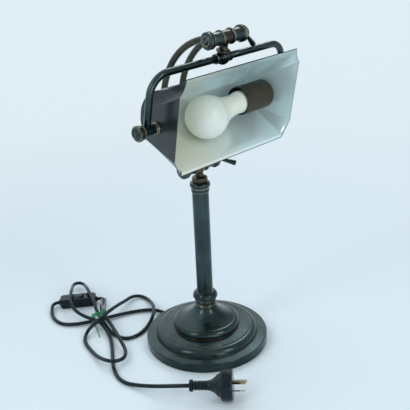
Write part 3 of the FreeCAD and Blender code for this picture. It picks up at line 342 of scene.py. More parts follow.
blueGloss = {"Specular_IOR_Level": 0.3, "Specular_Tint": (0.65, 0.9, 1.0, 1.0)}
plastics = {
    "opal": {"dark": (0.72, 0.79, 0.73), "light": (0.76, 0.82, 0.76), "roughness": 0.28, "grain": 600.0,
             "strength": 0.03, "depth": 0.00009,
             "more": {"Coat_Weight": 0.25, "Coat_Roughness": 0.2, "Subsurface_Weight": 0.3,
                      "Subsurface_Radius": (1.0, 1.0, 0.9), "Subsurface_Scale": 0.004}},
    "ivory": {"dark": (0.76, 0.78, 0.68), "light": (0.82, 0.84, 0.74), "roughness": 0.35, "grain": 900.0,
              "strength": 0.05, "depth": 0.00018, "more": {}},
    "blackPlastic": {"dark": (0.003, 0.006, 0.007), "light": (0.006, 0.011, 0.013), "roughness": 0.18,
                     "grain": 1800.0, "strength": 0.10, "depth": 0.00018, "more": blueGloss},
    "blackHolder": {"dark": (0.008, 0.008, 0.008), "light": (0.014, 0.013, 0.012), "roughness": 0.5,
                    "grain": 2400.0, "strength": 0.15, "depth": 0.00018, "more": {}},
    "cable": {"dark": (0.002, 0.005, 0.007), "light": (0.005, 0.010, 0.012), "roughness": 0.20, "grain": 600.0,
              "strength": 0.06, "depth": 0.00018, "more": blueGloss},
    "greenTie": {"dark": (0.010, 0.19, 0.085), "light": (0.020, 0.30, 0.14), "roughness": 0.4, "grain": 1000.0,
                 "strength": 0.3, "depth": 0.00018, "more": {}},
    "tieCore": {"dark": (0.22, 0.24, 0.25), "light": (0.30, 0.32, 0.33), "roughness": 0.45, "grain": 1000.0,
                "strength": 0.3, "depth": 0.00018, "more": {}},
}


def plastic(name, look):
    # moulded plastic: two close colours in a soft cloud and a fine moulded grain
    place, surface = newMaterial(name)
    cloud = place.noise(35.0, 2.0).between(0.35, 0.68)
    grain = place.noise(look["grain"], 2.0)
    return surface(Base_Color=cloud.mix(rgba(look["dark"]), rgba(look["light"])),
                   Roughness=look["roughness"] + grain * 0.12,
                   Normal=grain.bump(look["strength"], look["depth"]), **look["more"])


metals = {
    "steel": {"dark": (0.42, 0.42, 0.43), "light": (0.60, 0.60, 0.61), "roughness": 0.25, "lines": (1.0, 6.0, 6.0)},
    "aluminium": {"dark": (0.62, 0.62, 0.63), "light": (0.78, 0.78, 0.79), "roughness": 0.28, "lines": (1.0, 1.0, 1.0)},
    "pinBrass": {"dark": (0.48, 0.42, 0.28), "light": (0.66, 0.60, 0.44), "roughness": 0.22, "lines": (1.0, 1.0, 1.0)},
    "castIron": {"dark": (0.04, 0.04, 0.04), "light": (0.09, 0.09, 0.09), "roughness": 0.6, "lines": (1.0, 1.0, 1.0)},
}


def metal(name, look):
    # turned or drawn bare metal with fine lines
    place, surface = newMaterial(name)
    streak = place.stretched(look["lines"]).noise(700.0, 3.0)
    return surface(Base_Color=streak.between(0.3, 0.7).mix(rgba(look["dark"]), rgba(look["light"])), Metallic=1.0,
                   Roughness=look["roughness"] + streak * 0.12, Normal=streak.bump(0.1, 0.0001))


for make in (shadePaint, enamel, bakelite, felt):
    looks[make.__name__] = make(make.__name__)
looks.update({name: plastic(name, look) for name, look in plastics.items()})
looks.update({name: metal(name, look) for name, look in metals.items()})
print("materials made:", len(looks))


# Meshes from whole arrays

def turnMatrix(axis, degrees):
    # a turn about one of the three axes
    return np.array(Matrix.Rotation(math.radians(degrees), 3, axis))


def loopFaces(rows, columns, closeRows, closeColumns):
    # the quads of a grid of rows by columns, each way closed or open, that face out for a column that runs to the
    # left of a row's way
    i = np.arange(rows if closeRows else rows - 1)[:, None]
    j = np.arange(columns if closeColumns else columns - 1)[None, :]
    nextI = (i + 1) % rows
    nextJ = (j + 1) % columns
    return np.stack((i * columns + j, i * columns + nextJ, nextI * columns + nextJ, nextI * columns + j), -1)


def newPiece(name, points, faces, materials, faceLooks=None, marks=None, sharp=None):
    # one mesh object from points in metres and quads; marks are numbers per point, such as worn, and sharp is the
    # angle from which an edge keeps its crease
    points = np.asarray(points, np.float32).reshape(-1, 3)
    faces = np.asarray(faces, np.int32).reshape(-1, 4)
    mesh = bpy.data.meshes.new(name)
    mesh.vertices.add(len(points))
    mesh.vertices.foreach_set("co", points.ravel())
    mesh.loops.add(faces.size)
    mesh.loops.foreach_set("vertex_index", faces.ravel())
    mesh.polygons.add(len(faces))
    mesh.polygons.foreach_set("loop_start", np.arange(0, faces.size, 4, dtype=np.int32))
    mesh.update(calc_edges=True)
    for material in materials:
        mesh.materials.append(looks[material])
    if faceLooks is not None:
        mesh.polygons.foreach_set("material_index", np.asarray(faceLooks, np.int32).ravel())
    mesh.polygons.foreach_set("use_smooth", np.full(len(faces), True))
    if sharp:
        mesh.set_sharp_from_angle(angle=math.radians(sharp))
    for mark, values in (marks or {}).items():
        attribute = mesh.attributes.new(mark, "FLOAT", "POINT")
        attribute.data.foreach_set("value", np.asarray(values, np.float32).ravel())
    piece = bpy.data.objects.new(name, mesh)
    bpy.context.scene.collection.objects.link(piece)
    return piece


def closeSeams(piece):
    # points within a thousandth of a millimetre become one, which closes poles and seams
    nearest = 1e-6
    work = bmesh.new()
    work.from_mesh(piece.data)
    bmesh.ops.remove_doubles(work, verts=work.verts, dist=nearest)
    bmesh.ops.dissolve_degenerate(work, edges=work.edges, dist=nearest)
    work.to_mesh(piece.data)
    work.free()
    return piece


def standFor(piece, *nodes):
    # the piece takes the place of CAD nodes of one body
    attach(piece, bodyOf[nodes[0]])
    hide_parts(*nodes)
    return piece


def arcBetween(start, end, radius, degrees=8.0):
    # points along the minor arc, without its end; a positive radius swells to the right of the way it runs
    chord = end - start
    length = np.hypot(*chord)
    reach = abs(radius)
    rise = math.sqrt(max(reach ** 2 - length ** 2 / 4, 0.0))
    left = np.array((-chord[1], chord[0])) / length
    centre = (start + end) / 2 + left * math.copysign(rise, radius)
    first = math.atan2(*(start - centre)[::-1])
    sweep = math.copysign(2 * math.asin(min(1.0, length / (2 * reach))), radius)
    count = max(3, math.ceil(abs(math.degrees(sweep)) / degrees))
    angles = first + sweep * np.arange(count) / count
    return centre + reach * np.stack((np.cos(angles), np.sin(angles)), 1)


# corners turning less than leastTurn stay sharp; the others are cut back by at most a share of the runs beside them
cornerShape = {"leastTurn": 0.2, "mostTurn": 2.4, "share": 0.42, "points": 5}


def drawnOutline(points, closed, soften):
    # an outline with its arcs sampled and its corners cut back and bridged by small parabolas
    corners = np.array([point[:2] for point in points], float)
    count = len(points)
    stretches, isCorner = [], []
    for index in range(count if closed else count - 1):
        start, end = corners[index], corners[(index + 1) % count]
        radius = points[index][2] if len(points[index]) > 2 else None
        samples = start[None] if radius is None else arcBetween(start, end, radius)
        stretches.append(samples)
        isCorner += [True] + [False] * (len(samples) - 1)
    if not closed:
        stretches.append(corners[-1:])
        isCorner.append(False)
    line = np.concatenate(stretches)
    made = []
    for index, point in enumerate(line):
        before, after = line[index - 1], line[(index + 1) % len(line)]
        ends = not closed and index in (0, len(line) - 1)
        back, ahead = before - point, after - point
        lengths = np.hypot(*back), np.hypot(*ahead)
        turn = math.pi - math.acos(np.clip(back @ ahead / (lengths[0] * lengths[1] + 1e-12), -1.0, 1.0))
        if ends or not isCorner[index] or turn < cornerShape["leastTurn"]:
            made.append(point[None])
            continue
        most = cornerShape["share"] * min(lengths)
        cut = min(soften * math.tan(min(turn, cornerShape["mostTurn"]) / 2), most)
        first, last = point + back / lengths[0] * cut, point + ahead / lengths[1] * cut
        share = np.linspace(0.0, 1.0, cornerShape["points"])[:, None]
        made.append(first * (1 - share) ** 2 + 2 * point * share * (1 - share) + last * share ** 2)
    return np.concatenate(made)


# beside an edge, in millimetres: how wide it is rubbed, how near its extra points stand, how far they stay from the
# ends and from other points; and the turn in radians that is rubbed through
wearShape = {"width": 0.45, "support": 0.35, "fromEnds": 0.1, "apart": 0.12, "full": 1.1}


def resampled(line, closed, step):
    # the outline with more points on its long straights and beside its bends, and how it turns at each point:
    # turns to the left are rubbed edges, turns to the right are grooves
    if closed:
        line = np.concatenate((line, line[:1]))
    lengths = np.hypot(*np.diff(line, axis=0).T)
    keep = np.concatenate(([True], lengths > 1e-5))
    line = line[keep]
    along = np.concatenate(([0.0], np.cumsum(np.hypot(*np.diff(line, axis=0).T))))
    way = np.arctan2(*np.diff(line, axis=0).T[::-1])
    bends = (np.diff(way, append=way[:1] if closed else way[-1:]) + math.pi) % (2 * math.pi) - math.pi
    bendAt = along[1:]
    extra = np.arange(step, along[-1], step)
    extra = extra[np.abs(extra[:, None] - along[None]).min(1) > 0.15 * step]
    support = np.concatenate((bendAt - wearShape["support"], bendAt + wearShape["support"]))
    support = support[(support > wearShape["fromEnds"]) & (support < along[-1] - wearShape["fromEnds"])]
    support = support[np.abs(support[:, None] - along[None]).min(1) > wearShape["apart"]]
    fine = np.unique(np.round(np.concatenate((along, extra, support)), 3))
    if closed:
        fine = fine[fine < along[-1] - 1e-3]
    dense = np.stack([np.interp(fine, along, line[:, axis]) for axis in (0, 1)], 1)
    gap = np.abs(fine[:, None] - bendAt[None])
    if closed:
        gap = np.minimum(gap, along[-1] - gap)
    near = np.exp(-(gap / wearShape["width"]) ** 2)
    return dense, (near * np.maximum(bends, 0)).sum(1), (near * np.maximum(-bends, 0)).sum(1)


def placed(own, turn, place):
    # points of a piece's own frame, turned and moved to their place, in metres
    return (own @ turn.T + np.array(place)) * mm


def bareGrid(points, closed):
    # rings of points as a surface without wear or dust
    rows, columns = points.shape[:2]
    blank = np.zeros(rows * columns)
    return points.reshape(-1, 3), loopFaces(rows, columns, closed, True).reshape(-1, 4), blank, blank


def turnedGrid(outline, place, turn, segments=72, soften=0.3, step=2.5):
    # a surface of revolution: radius and height from the outline, angle round the axis
    closed = outline[0][0] > 1e-6 or outline[-1][0] > 1e-6
    line, worn, grime = resampled(drawnOutline(outline, closed, soften), closed, step)
    angles = np.linspace(0, 2 * math.pi, segments, endpoint=False)
    radius, height = line[:, :1], line[:, 1:]
    own = np.stack((radius * np.cos(angles), radius * np.sin(angles), height + 0 * angles), -1)
    points = placed(own, turn, place)
    marks = [np.repeat(np.clip(mark / wearShape["full"], 0, 1), segments) for mark in (worn, grime)]
    return points.reshape(-1, 3), loopFaces(len(line), segments, closed, True).reshape(-1, 4), *marks


def joinedGrids(grids):
    # several grids as one set of points, faces and marks
    points, faces, worn, grime, base = [], [], [], [], 0
    for grid in grids:
        points.append(grid[0])
        faces.append(grid[1] + base)
        worn.append(grid[2])
        grime.append(grid[3])
        base += len(grid[0])
    return [np.concatenate(part) for part in (points, faces, worn, grime)]


def gridPiece(node, look, *grids, name=None):
    # one piece of one finish from its grids in the place of a node, named like it in one word
    first, *others = node.split("_")
    name = name or first + "".join(word.capitalize() for word in others)
    points, faces, worn, grime = joinedGrids(grids)
    piece = closeSeams(newPiece(name, points, faces, [look], None, {"worn": worn, "grime": grime}))
    return standFor(piece, node)


def tubeGrid(path, across, radius, turn, place, segments=40):
    # a round tube along a plane path: across is square to the path's plane, and both ends are closed
    ends = np.concatenate((path[:1], path, path[-1:]))
    way = np.gradient(path, axis=0)
    way = np.concatenate((way[:1], way, way[-1:]))
    way /= np.linalg.norm(way, axis=1, keepdims=True)
    across = np.array(across, float)
    side = np.cross(across, way)
    angles = np.linspace(0, 2 * math.pi, segments, endpoint=False)[None, :, None]
    size = np.full(len(ends), float(radius))
    size[[0, -1]] = 0.0
    ring = np.cos(angles) * side[:, None] + np.sin(angles) * across
    own = ends[:, None] + size[:, None, None] * ring
    points, faces, *marks = bareGrid(placed(own, turn, place), False)
    return points, faces[:, ::-1], *marks


# Places and turns of the lamp's own frames, in millimetres

axes = {"lower": (0.0, 0.0, 291.6), "upper": (0.0, -59.2, 480.7), "pivot": (0.0, -38.0, 382.0)}
hangLean = math.degrees(math.atan2(axes["pivot"][1] - axes["upper"][1], axes["upper"][2] - axes["pivot"][2]))
hangLength = math.hypot(axes["pivot"][1] - axes["upper"][1], axes["upper"][2] - axes["pivot"][2])
upright = np.eye(3)
toRight = turnMatrix("Y", 90)
toLeft = turnMatrix("Y", -90)
toFront = turnMatrix("X", -90)
hang = turnMatrix("X", hangLean)
tilt = turnMatrix("X", 10.56)  # the shade's own at rest


def shifted(place, along, turn):
    # the place moved along the turn's own axis
    return tuple(np.array(place) + turn @ np.array((0.0, 0.0, along)))


def domeRadius(radius, rise):
    # the radius of the ball whose cap has this foot radius and rise
    return (radius ** 2 + rise ** 2) / (2 * rise)


# Base and column

baseShape = {"segments": 188, "soften": 0.45, "step": 1.8, "wear": 0.62, "outline": [
    (94.0, 1.0), (94.0, 13.2, 1.7), (92.6, 14.8), (79.8, 16.0), (79.2, 17.0, 10.0), (68.8, 26.6), (67.6, 27.6),
    (66.8, 27.0), (51.2, 28.6), (50.9, 29.0, 8.45), (44.2, 40.6), (43.4, 40.2), (43.0, 40.8, -59.0), (16.2, 60.8),
    (13.0, 60.8), (13.0, 59.4), (15.5, 58.8), (29.5, 46.0), (42.5, 39.0), (43.8, 37.5), (49.2, 29.0), (49.6, 27.2),
    (66.5, 25.8, -9.6), (77.6, 16.0), (78.6, 14.8), (92.0, 13.5), (92.7, 12.6), (92.7, 1.0)]}
columnShape = {"radius": 12.3, "wall": 1.5, "low": 64.1, "high": 256.0}
footShape = {"segments": 110, "outline": [
    (5.3, 60.9), (15.2, 60.9), (15.2, 63.6), (14.7, 64.0, 1.9), (14.7, 67.4), (14.2, 67.9), (15.0, 68.6, 2.8),
    (15.2, 73.2), (14.9, 74.0), (18.3, 77.2), (18.9, 77.7), (18.9, 78.5, 8.5), (13.4, 86.6), (12.35, 86.9),
    (12.35, 64.0), (5.3, 64.0)]}
headShape = {"segments": 110, "outline": [
    (12.35, 251.5), (13.3, 251.5), (13.3, 257.2), (13.9, 257.8), (13.9, 258.4), (13.5, 258.7, 4.9), (13.2, 266.3),
    (4.05, 266.4), (4.05, 258.5), (5.05, 258.5), (5.05, 256.1), (12.35, 256.1)]}
grommetShape = {"place": (0.0, 0.0, 6.0), "outline": [
    (1.75, 88.0), (5.6, 88.0), (5.6, 92.3), (4.6, 92.5), (4.6, 94.3), (5.1, 94.5, 12.0), (3.6, 100.0),
    (3.2, 100.5), (1.75, 100.5)]}


def makeBase():
    # turned pieces round the upright axis, and the grommet round its own at the back
    origin = (0.0, 0.0, 0.0)
    shell = list(turnedGrid(baseShape["outline"], origin, upright, baseShape["segments"], baseShape["soften"],
                            baseShape["step"]))
    shell[2] = shell[2] * baseShape["wear"]
    gridPiece("base_shell", "darkBronze", shell)
    collar, head = [turnedGrid(shape["outline"], origin, upright, shape["segments"])
                    for shape in (footShape, headShape)]
    gridPiece("foot_collar", "jointBronze", collar)
    low, high, outside = columnShape["low"], columnShape["high"], columnShape["radius"]
    inside = outside - columnShape["wall"]
    tube = [(inside, low), (outside, low), (outside, high), (inside, high)]
    gridPiece("column_tube", "darkBronze", turnedGrid(tube, origin, upright, 96, step=4.0))
    gridPiece("column_head", "jointBronze", head)
    gridPiece("cord_grommet", "blackHolder", turnedGrid(grommetShape["outline"], grommetShape["place"], toFront, 48))


# Friction joints

stems = {
    "lower": {"turn": upright, "outline": [
        (0.0, -32.4), (4.0, -32.4), (4.0, -24.9), (10.6, -24.9), (10.9, -24.5, 9.1), (10.9, -18.0),
        (10.4, -17.4, -4.5), (6.2, -14.8), (5.4, -13.0), (5.4, -11.6), (6.3, -9.2), (6.3, -5.5), (0.0, -5.5)]},
    "upper": {"turn": hang, "outline": [
        (0.0, -33.4), (3.0, -33.4), (3.0, -20.1), (8.2, -20.1), (9.5, -19.1), (9.6, -18.2), (9.3, -17.2, -6.0),
        (5.2, -12.0), (5.2, -10.5), (6.2, -7.5), (6.2, -5.5), (0.0, -5.5)]},
}
barrel = [(3.05, -8.0), (8.2, -8.0), (8.8, -7.4), (8.8, 7.4), (8.2, 8.0), (3.05, 8.0)]
segment = [(3.05, 11.6), (8.6, 11.6), (9.0, 12.0), (8.6, 17.0), (9.0, 25.0), (10.6, 26.4), (11.2, 27.0, 1.6),
           (11.2, 29.2), (10.6, 29.7), (8.8, 30.4), (3.05, 30.4)]
bead = [(3.05, 8.3), (9.8, 8.3, 1.6), (9.8, 11.3), (3.05, 11.3)]
endKnob = [(3.05, 30.6), (8.0, 30.6), (8.4, 31.0), (10.9, 31.2), (11.6, 31.9), (11.6, 33.4), (10.9, 34.2),
           (8.0, 34.9), (6.9, 35.7), (6.3, 35.9), (5.6, 35.5), (5.2, 35.0), (4.5, 35.0, domeRadius(4.5, 1.6)),
           (0.0, 36.6), (0.0, 34.2), (3.05, 34.2)]
leverCap = [(3.05, 30.7), (10.6, 30.7), (11.2, 31.3, 1.5), (11.2, 33.0), (10.4, 33.6), (8.6, 33.9),
            (8.4, 37.2, 2.0), (7.0, 38.6, domeRadius(7.0, 0.6)), (0.0, 39.2), (0.0, 36.9), (3.05, 36.9)]
leverPeg = {"splay": 45.0, "root": 37.2, "swing": {"lower": 62.0, "upper": -7.0}, "outline": [
    (0.0, 3.6), (2.6, 3.6), (2.4, 10.0), (3.5, 23.0), (3.9, 26.6), (3.6, 28.2), (2.9, 28.9), (0.0, 29.1)]}


def aimed(way):
    # a turn whose third column is the way
    way = np.array(way, float) / np.linalg.norm(way)
    side = np.cross((0.0, 0.0, 1.0) if abs(way[2]) < 0.9 else (1.0, 0.0, 0.0), way)
    side /= np.linalg.norm(side)
    return np.stack((side, np.cross(way, side), way), 1)


def makeFrictionJoint(level):
    # a knuckle on its stem between two barrel segments and bead rings, an end knob to the left, a lever to the right
    place = axes[level]
    stem = turnedGrid(stems[level]["outline"], place, stems[level]["turn"], 84)
    gridPiece(level + "_knuckle", "wornBronze", stem, turnedGrid(barrel, place, toRight))
    for side, turn in (("left", toLeft), ("right", toRight)):
        gridPiece(f"{level}_barrel_{side}", "jointBronze", turnedGrid(segment, place, turn))
    gridPiece(level + "_friction_rings", "jointBronze", *[turnedGrid(bead, place, turn) for turn in (toLeft, toRight)])
    gridPiece(level + "_end_knob", "jointBronze", turnedGrid(endKnob, place, toLeft))
    gridPiece(level + "_lever_cap", "jointBronze", turnedGrid(leverCap, place, toRight))
    splay, swing = math.radians(leverPeg["splay"]), math.radians(leverPeg["swing"][level])
    way = (math.sin(splay), -math.cos(splay) * math.sin(swing), -math.cos(splay) * math.cos(swing))
    root = shifted(place, leverPeg["root"], toRight)
    gridPiece(level + "_lever_peg", "darkBronze", turnedGrid(leverPeg["outline"], root, aimed(way), 48))


# Swing arms: two arcs in a plane beside the middle, from the upper joint round behind to the lower one

armShape = {"spacing": 17.6, "radius": 4.6, "reach": 47.7, "steps": 64}


def armPath(side):
    # centre line: an arc that leaves the upper axis level, then a flatter arc down to the lower axis
    reach = armShape["reach"]
    topRadius = reach - axes["upper"][1]
    middle = axes["upper"][2] - topRadius
    drop = middle - axes["lower"][2]
    lowRadius = (reach ** 2 + drop ** 2) / (2 * reach)
    top = np.radians(np.linspace(90, 0, armShape["steps"]))
    low = np.linspace(0, -math.asin(drop / lowRadius), armShape["steps"])[1:]
    y = np.concatenate((axes["upper"][1] + topRadius * np.cos(top), reach - lowRadius + lowRadius * np.cos(low)))
    z = np.concatenate((middle + topRadius * np.sin(top), middle + lowRadius * np.sin(low)))
    return np.stack((np.full_like(y, armShape["spacing"] * side), y, z), 1)


def makeArms():
    # a tube along each side's path
    for name, side in (("left", -1), ("right", 1)):
        tube = tubeGrid(armPath(side), (1, 0, 0), armShape["radius"], upright, (0, 0, 0))
        gridPiece("arm_" + name, "oliveBronze", tube)


# Yoke

yokeShape = {"half": 124.8, "drop": 27.8, "bend": 27.0, "radius": 4.75, "top": (5.0, 40.0, 80.0), "leg": 25.0,
             "foot": 3.0, "steps": 40}
hubShape = {"ball": 9.6, "sleeve": 6.8, "half": 14.0, "top": 7.3}
bossShape = [(3.05, 110.7), (7.4, 110.7), (7.7, 111.0), (7.7, 112.5), (7.3, 112.9), (6.6, 113.2), (6.4, 114.0),
             (6.4, 127.2), (6.5, 128.0), (6.5, 130.2), (3.05, 130.2)]
knobShape = [(3.05, 130.6), (8.8, 130.6), (9.4, 131.1), (9.4, 133.3), (8.8, 133.9), (7.6, 134.3), (7.6, 135.9),
             (9.5, 136.5), (10.5, 137.5), (10.5, 140.5), (9.7, 141.6), (8.6, 141.8), (7.4, 141.0), (5.4, 141.0),
             (5.0, 141.4, domeRadius(5.0, 1.6)), (0.0, 143.0), (0.0, 140.2), (3.05, 140.2)]
flangeShape = [(3.05, 105.0), (8.0, 105.0), (8.0, 109.8), (7.4, 110.4), (3.05, 110.4)]


def yokePath(side):
    # centre line in the hanging plane: out along the top, round a quarter bend and down to the pivot
    y = yokeShape
    bend = np.radians(np.linspace(90, 0, y["steps"]))
    x = np.concatenate((y["top"], y["half"] - y["bend"] + y["bend"] * np.cos(bend), [y["half"]] * 2))
    level = -y["drop"] - y["bend"]
    legs = [level - y["leg"], y["foot"] - hangLength]
    z = np.concatenate(([-y["drop"]] * len(y["top"]), level + y["bend"] * np.sin(bend), legs))
    return np.stack((x * side, np.zeros_like(x), z), 1)


def makeYoke():
    # a bent tube to each side with its turned boss, knob and flange, and a ball with a cross sleeve in the middle
    for name, side, turn in (("left", -1, toLeft), ("right", 1, toRight)):
        tube = tubeGrid(yokePath(side), (0, 1, 0), yokeShape["radius"], hang, axes["upper"])
        gridPiece("yoke_tube_" + name, "darkBronze", tube)
        for node, outline in (("yoke_boss_", bossShape), ("pivot_knob_", knobShape), ("pivot_flange_", flangeShape)):
            gridPiece(node + name, "jointBronze", turnedGrid(outline, axes["pivot"], turn))
    h = hubShape
    foot = math.sqrt(h["ball"] ** 2 - h["top"] ** 2)
    ball = [(0.0, -h["ball"], h["ball"]), (h["ball"], 0.0, h["ball"]), (foot, h["top"]), (0.0, h["top"])]
    sleeve = [(0.0, -h["half"]), (h["sleeve"], -h["half"]), (h["sleeve"], h["half"]), (0.0, h["half"])]
    centre = shifted(axes["upper"], -yokeShape["drop"], hang)
    gridPiece("yoke_hub", "jointBronze", turnedGrid(ball, centre, hang), turnedGrid(sleeve, centre, hang @ toRight))


# Shade: outlines across it are (depth, height) from the pivot, with the opening at the front

shadeShape = {"sheet": 0.9, "opening": -42.2, "top": 78.7, "foot": -54.3, "lipBack": -41.3, "panelOut": 107.9,
              "slope": 0.15, "halfLength": 101.5, "flareUp": 0.037, "flareFrom": 12.2}
topArcs = (((-42.2, 78.7), (-18.2, 60.2), (1.4, 49.4)), ((1.4, 49.4), (24.0, 36.0), (37.8, 9.2)))
footArc = ((37.8, 9.2), (34.5, -12.0), (20.0, -29.5))
footLine = ((20.0, -29.5), (-39.0, -48.2))
troughShape = {"rimAt": 0.6, "lipRise": 1.2, "lip": (-49.3, -51.8), "samples": (16, 22, 16, 14), "columns": 60}


def circleOf(points):
    # centre and radius of the circle through three points
    (ax, ay), (bx, by), (cx, cy) = points
    d = 2 * (ax * (by - cy) + bx * (cy - ay) + cx * (ay - by))
    a2, b2, c2 = ax ** 2 + ay ** 2, bx ** 2 + by ** 2, cx ** 2 + cy ** 2
    centre = np.array(((a2 * (by - cy) + b2 * (cy - ay) + c2 * (ay - by)) / d,
                       (a2 * (cx - bx) + b2 * (ax - cx) + c2 * (bx - ax)) / d))
    return centre, math.hypot(ax - centre[0], ay - centre[1])


def arcThrough(points, count):
    # samples along the arc through three points, without its end
    centre, radius = circleOf(points)
    angles = [math.atan2(y - centre[1], x - centre[0]) for x, y in points]
    first = (angles[1] - angles[0] + math.pi) % (2 * math.pi) - math.pi
    second = (angles[2] - angles[1] + math.pi) % (2 * math.pi) - math.pi
    sweep = angles[0] + (first + second) * np.arange(count) / count
    return centre + radius * np.stack((np.cos(sweep), np.sin(sweep)), 1)


def heightOnArc(points, depth, upper):
    # the height of the circle through three points at a depth: its centre's, plus or minus the rise there
    centre, radius = circleOf(points)
    rise = np.sqrt(np.maximum(radius ** 2 - (depth - centre[0]) ** 2, 0.0))
    return centre[1] + rise if upper else centre[1] - rise


def topHeight(depth):
    # the top edge's height over the depth: the arc nearer the front, then the one behind
    near, far = topArcs
    nearRise = heightOnArc(near, depth, circleOf(near)[0][1] < near[2][1])
    return np.where(depth < near[2][0], nearRise, heightOnArc(far, depth, True))


def footHeight(depth):
    # the foot edge's height over the depth: an arc at the back, a straight line, and the lip at the front
    far, near = footLine
    slope = (near[1] - far[1]) / (near[0] - far[0])
    straight = far[1] + (depth - far[0]) * slope
    low = np.where(depth > far[0], heightOnArc(footArc, depth, False), straight)
    return np.where(depth > near[0], low, shadeShape["foot"])


def halfLength(height):
    # half the trough's length, which grows a little with the height
    s = shadeShape
    return s["halfLength"] + s["flareUp"] * (height - s["flareFrom"])


def shadeSkin():
    # the trough's outer skin from the front top edge round the back to the front lip
    s = shadeShape
    *counts, last = troughShape["samples"]
    arcs = [arcThrough(points, count) for points, count in zip((*topArcs, footArc), counts)]
    straight = np.linspace(footLine[0], footLine[1], last)[:-1]
    lip = np.array((footLine[1], *((s["lipBack"], height) for height in (*troughShape["lip"], s["foot"]))))
    return np.concatenate((*arcs, straight, lip))


def makeTrough():
    # the skin and its inside, one sheet further in, as a closed loop swept along the shade's length
    outer = shadeSkin()
    outer = np.insert(outer, 1, outer[0] + (outer[1] - outer[0]) * troughShape["rimAt"], axis=0)
    outer = np.insert(outer, len(outer) - 1, outer[-1] + (0.0, troughShape["lipRise"]), axis=0)
    way = np.gradient(outer, axis=0)
    way /= np.linalg.norm(way, axis=1, keepdims=True)
    inner = outer + np.stack((way[:, 1], -way[:, 0]), 1) * shadeShape["sheet"]
    loop = np.concatenate((outer, inner[::-1]))
    share = np.linspace(-1.0, 1.0, troughShape["columns"])
    x = share[None] * halfLength(loop[:, 1:])
    own = np.stack((x, loop[:, :1] + 0 * x, loop[:, 1:] + 0 * x), -1)
    points = placed(own, tilt, axes["pivot"]).reshape(-1, 3)
    rows, columns = x.shape
    sides = loopFaces(rows, columns, True, False)
    count = len(outer)
    sideLooks = np.zeros(sides.shape[:2], int)
    # the lacquer goes round the rim, so the inside is pale from the second row to the last but one
    sideLooks[count + 1:rows - 2] = 1
    i = np.arange(count - 1)
    capLow = np.stack((i, i + 1, rows - 2 - i, rows - 1 - i), 1) * columns
    capHigh = capLow[:, ::-1] + columns - 1
    faces = np.concatenate((sides.reshape(-1, 4)[:, ::-1], capLow[:, ::-1], capHigh[:, ::-1]))
    faceLooks = np.concatenate((sideLooks.ravel(), np.zeros(2 * len(capLow), int)))
    piece = newPiece("shadeTrough", points, faces, ["shadePaint", "enamel"], faceLooks, None, 25.0)
    standFor(piece, "shade_trough")


# over the depth: the crease under the flap is a parabola and stays under the top edge, the fold over the foot is a
# line and stays over the foot edge
panelShape = {"crease": (31.0, -0.55, 0.0018), "underTop": 2.5, "fold": (-30.8, 0.07), "overFoot": 1.2,
              "leastFlare": 0.25, "samples": (18, 16, 8), "front": 28.0, "rows": 40,
              "back": (30.0, 32.0, 34.0, 35.6, 37.2)}


def panelSkin(depth):
    # the end panel's skin over depth and round its section: curved flap, flat face, slanted foot
    s, p = shadeShape, panelShape
    top, foot = topHeight(depth), footHeight(depth)
    level, slope, bow = p["crease"]
    crease = np.minimum(level + slope * depth + bow * depth ** 2, top - p["underTop"])
    level, slope = p["fold"]
    fold = np.maximum(level + slope * (depth - s["opening"]), foot + p["overFoot"])
    head = halfLength(top) + s["sheet"]
    flare = np.maximum(s["panelOut"] - s["slope"] * depth - head, p["leastFlare"])
    drop = top - crease
    radius = (flare ** 2 + drop ** 2) / (2 * flare)
    flapShare, faceShare, share = [np.linspace(0, 1, count)[None] for count in p["samples"]]
    sweep = np.arcsin(np.clip(drop / radius, -1, 1))[:, None] * flapShare
    flapX = head[:, None] + radius[:, None] * (1 - np.cos(sweep))
    flapZ = top[:, None] - radius[:, None] * np.sin(sweep)
    faceShare, share = faceShare[:, 1:], share[:, 1:]
    faceX = (head + flare)[:, None] + 0 * faceShare
    faceZ = crease[:, None] + (fold - crease)[:, None] * faceShare
    footX = (head + flare)[:, None] + (halfLength(foot) + s["sheet"] - head - flare)[:, None] * share
    footZ = fold[:, None] + (foot - fold)[:, None] * share
    return np.concatenate((flapX, faceX, footX), 1), np.concatenate((flapZ, faceZ, footZ), 1)


def makeEndPanels():
    # each panel is its skin and the same skin one sheet further in, with closed ends, mirrored for the left
    front = np.linspace(shadeShape["opening"], panelShape["front"], panelShape["rows"])
    depth = np.concatenate((front, panelShape["back"]))
    x, z = panelSkin(depth)
    y = depth[:, None] + 0 * x
    outer = np.stack((x, y, z), -1)
    inner = np.stack((x - shadeShape["sheet"], y, z), -1)
    rows, columns = x.shape
    for name, side in (("Right", 1), ("Left", -1)):
        mirror = np.array((side, 1, 1))
        own = np.concatenate((outer, inner[:, ::-1]), 1) * mirror
        points = placed(own, tilt, axes["pivot"]).reshape(-1, 3)
        around = loopFaces(rows, 2 * columns, False, True)
        aroundLooks = np.zeros(around.shape[:2], int)
        aroundLooks[:, columns:2 * columns - 1] = 1
        i = np.arange(columns - 1)
        first = np.stack((i, i + 1, 2 * columns - 2 - i, 2 * columns - 1 - i), 1)
        last = first[:, ::-1] + (rows - 1) * 2 * columns
        faces = np.concatenate((around.reshape(-1, 4), first, last))
        if side == 1:
            faces = faces[:, ::-1]
        faceLooks = np.concatenate((aroundLooks.ravel(), np.zeros(2 * len(first), int)))
        piece = newPiece("shadeEnd" + name, points, faces, ["shadePaint", "enamel"], faceLooks, None, 20.0)
        standFor(piece, "shade_end_" + name.lower())


# Lamp holder and bulb

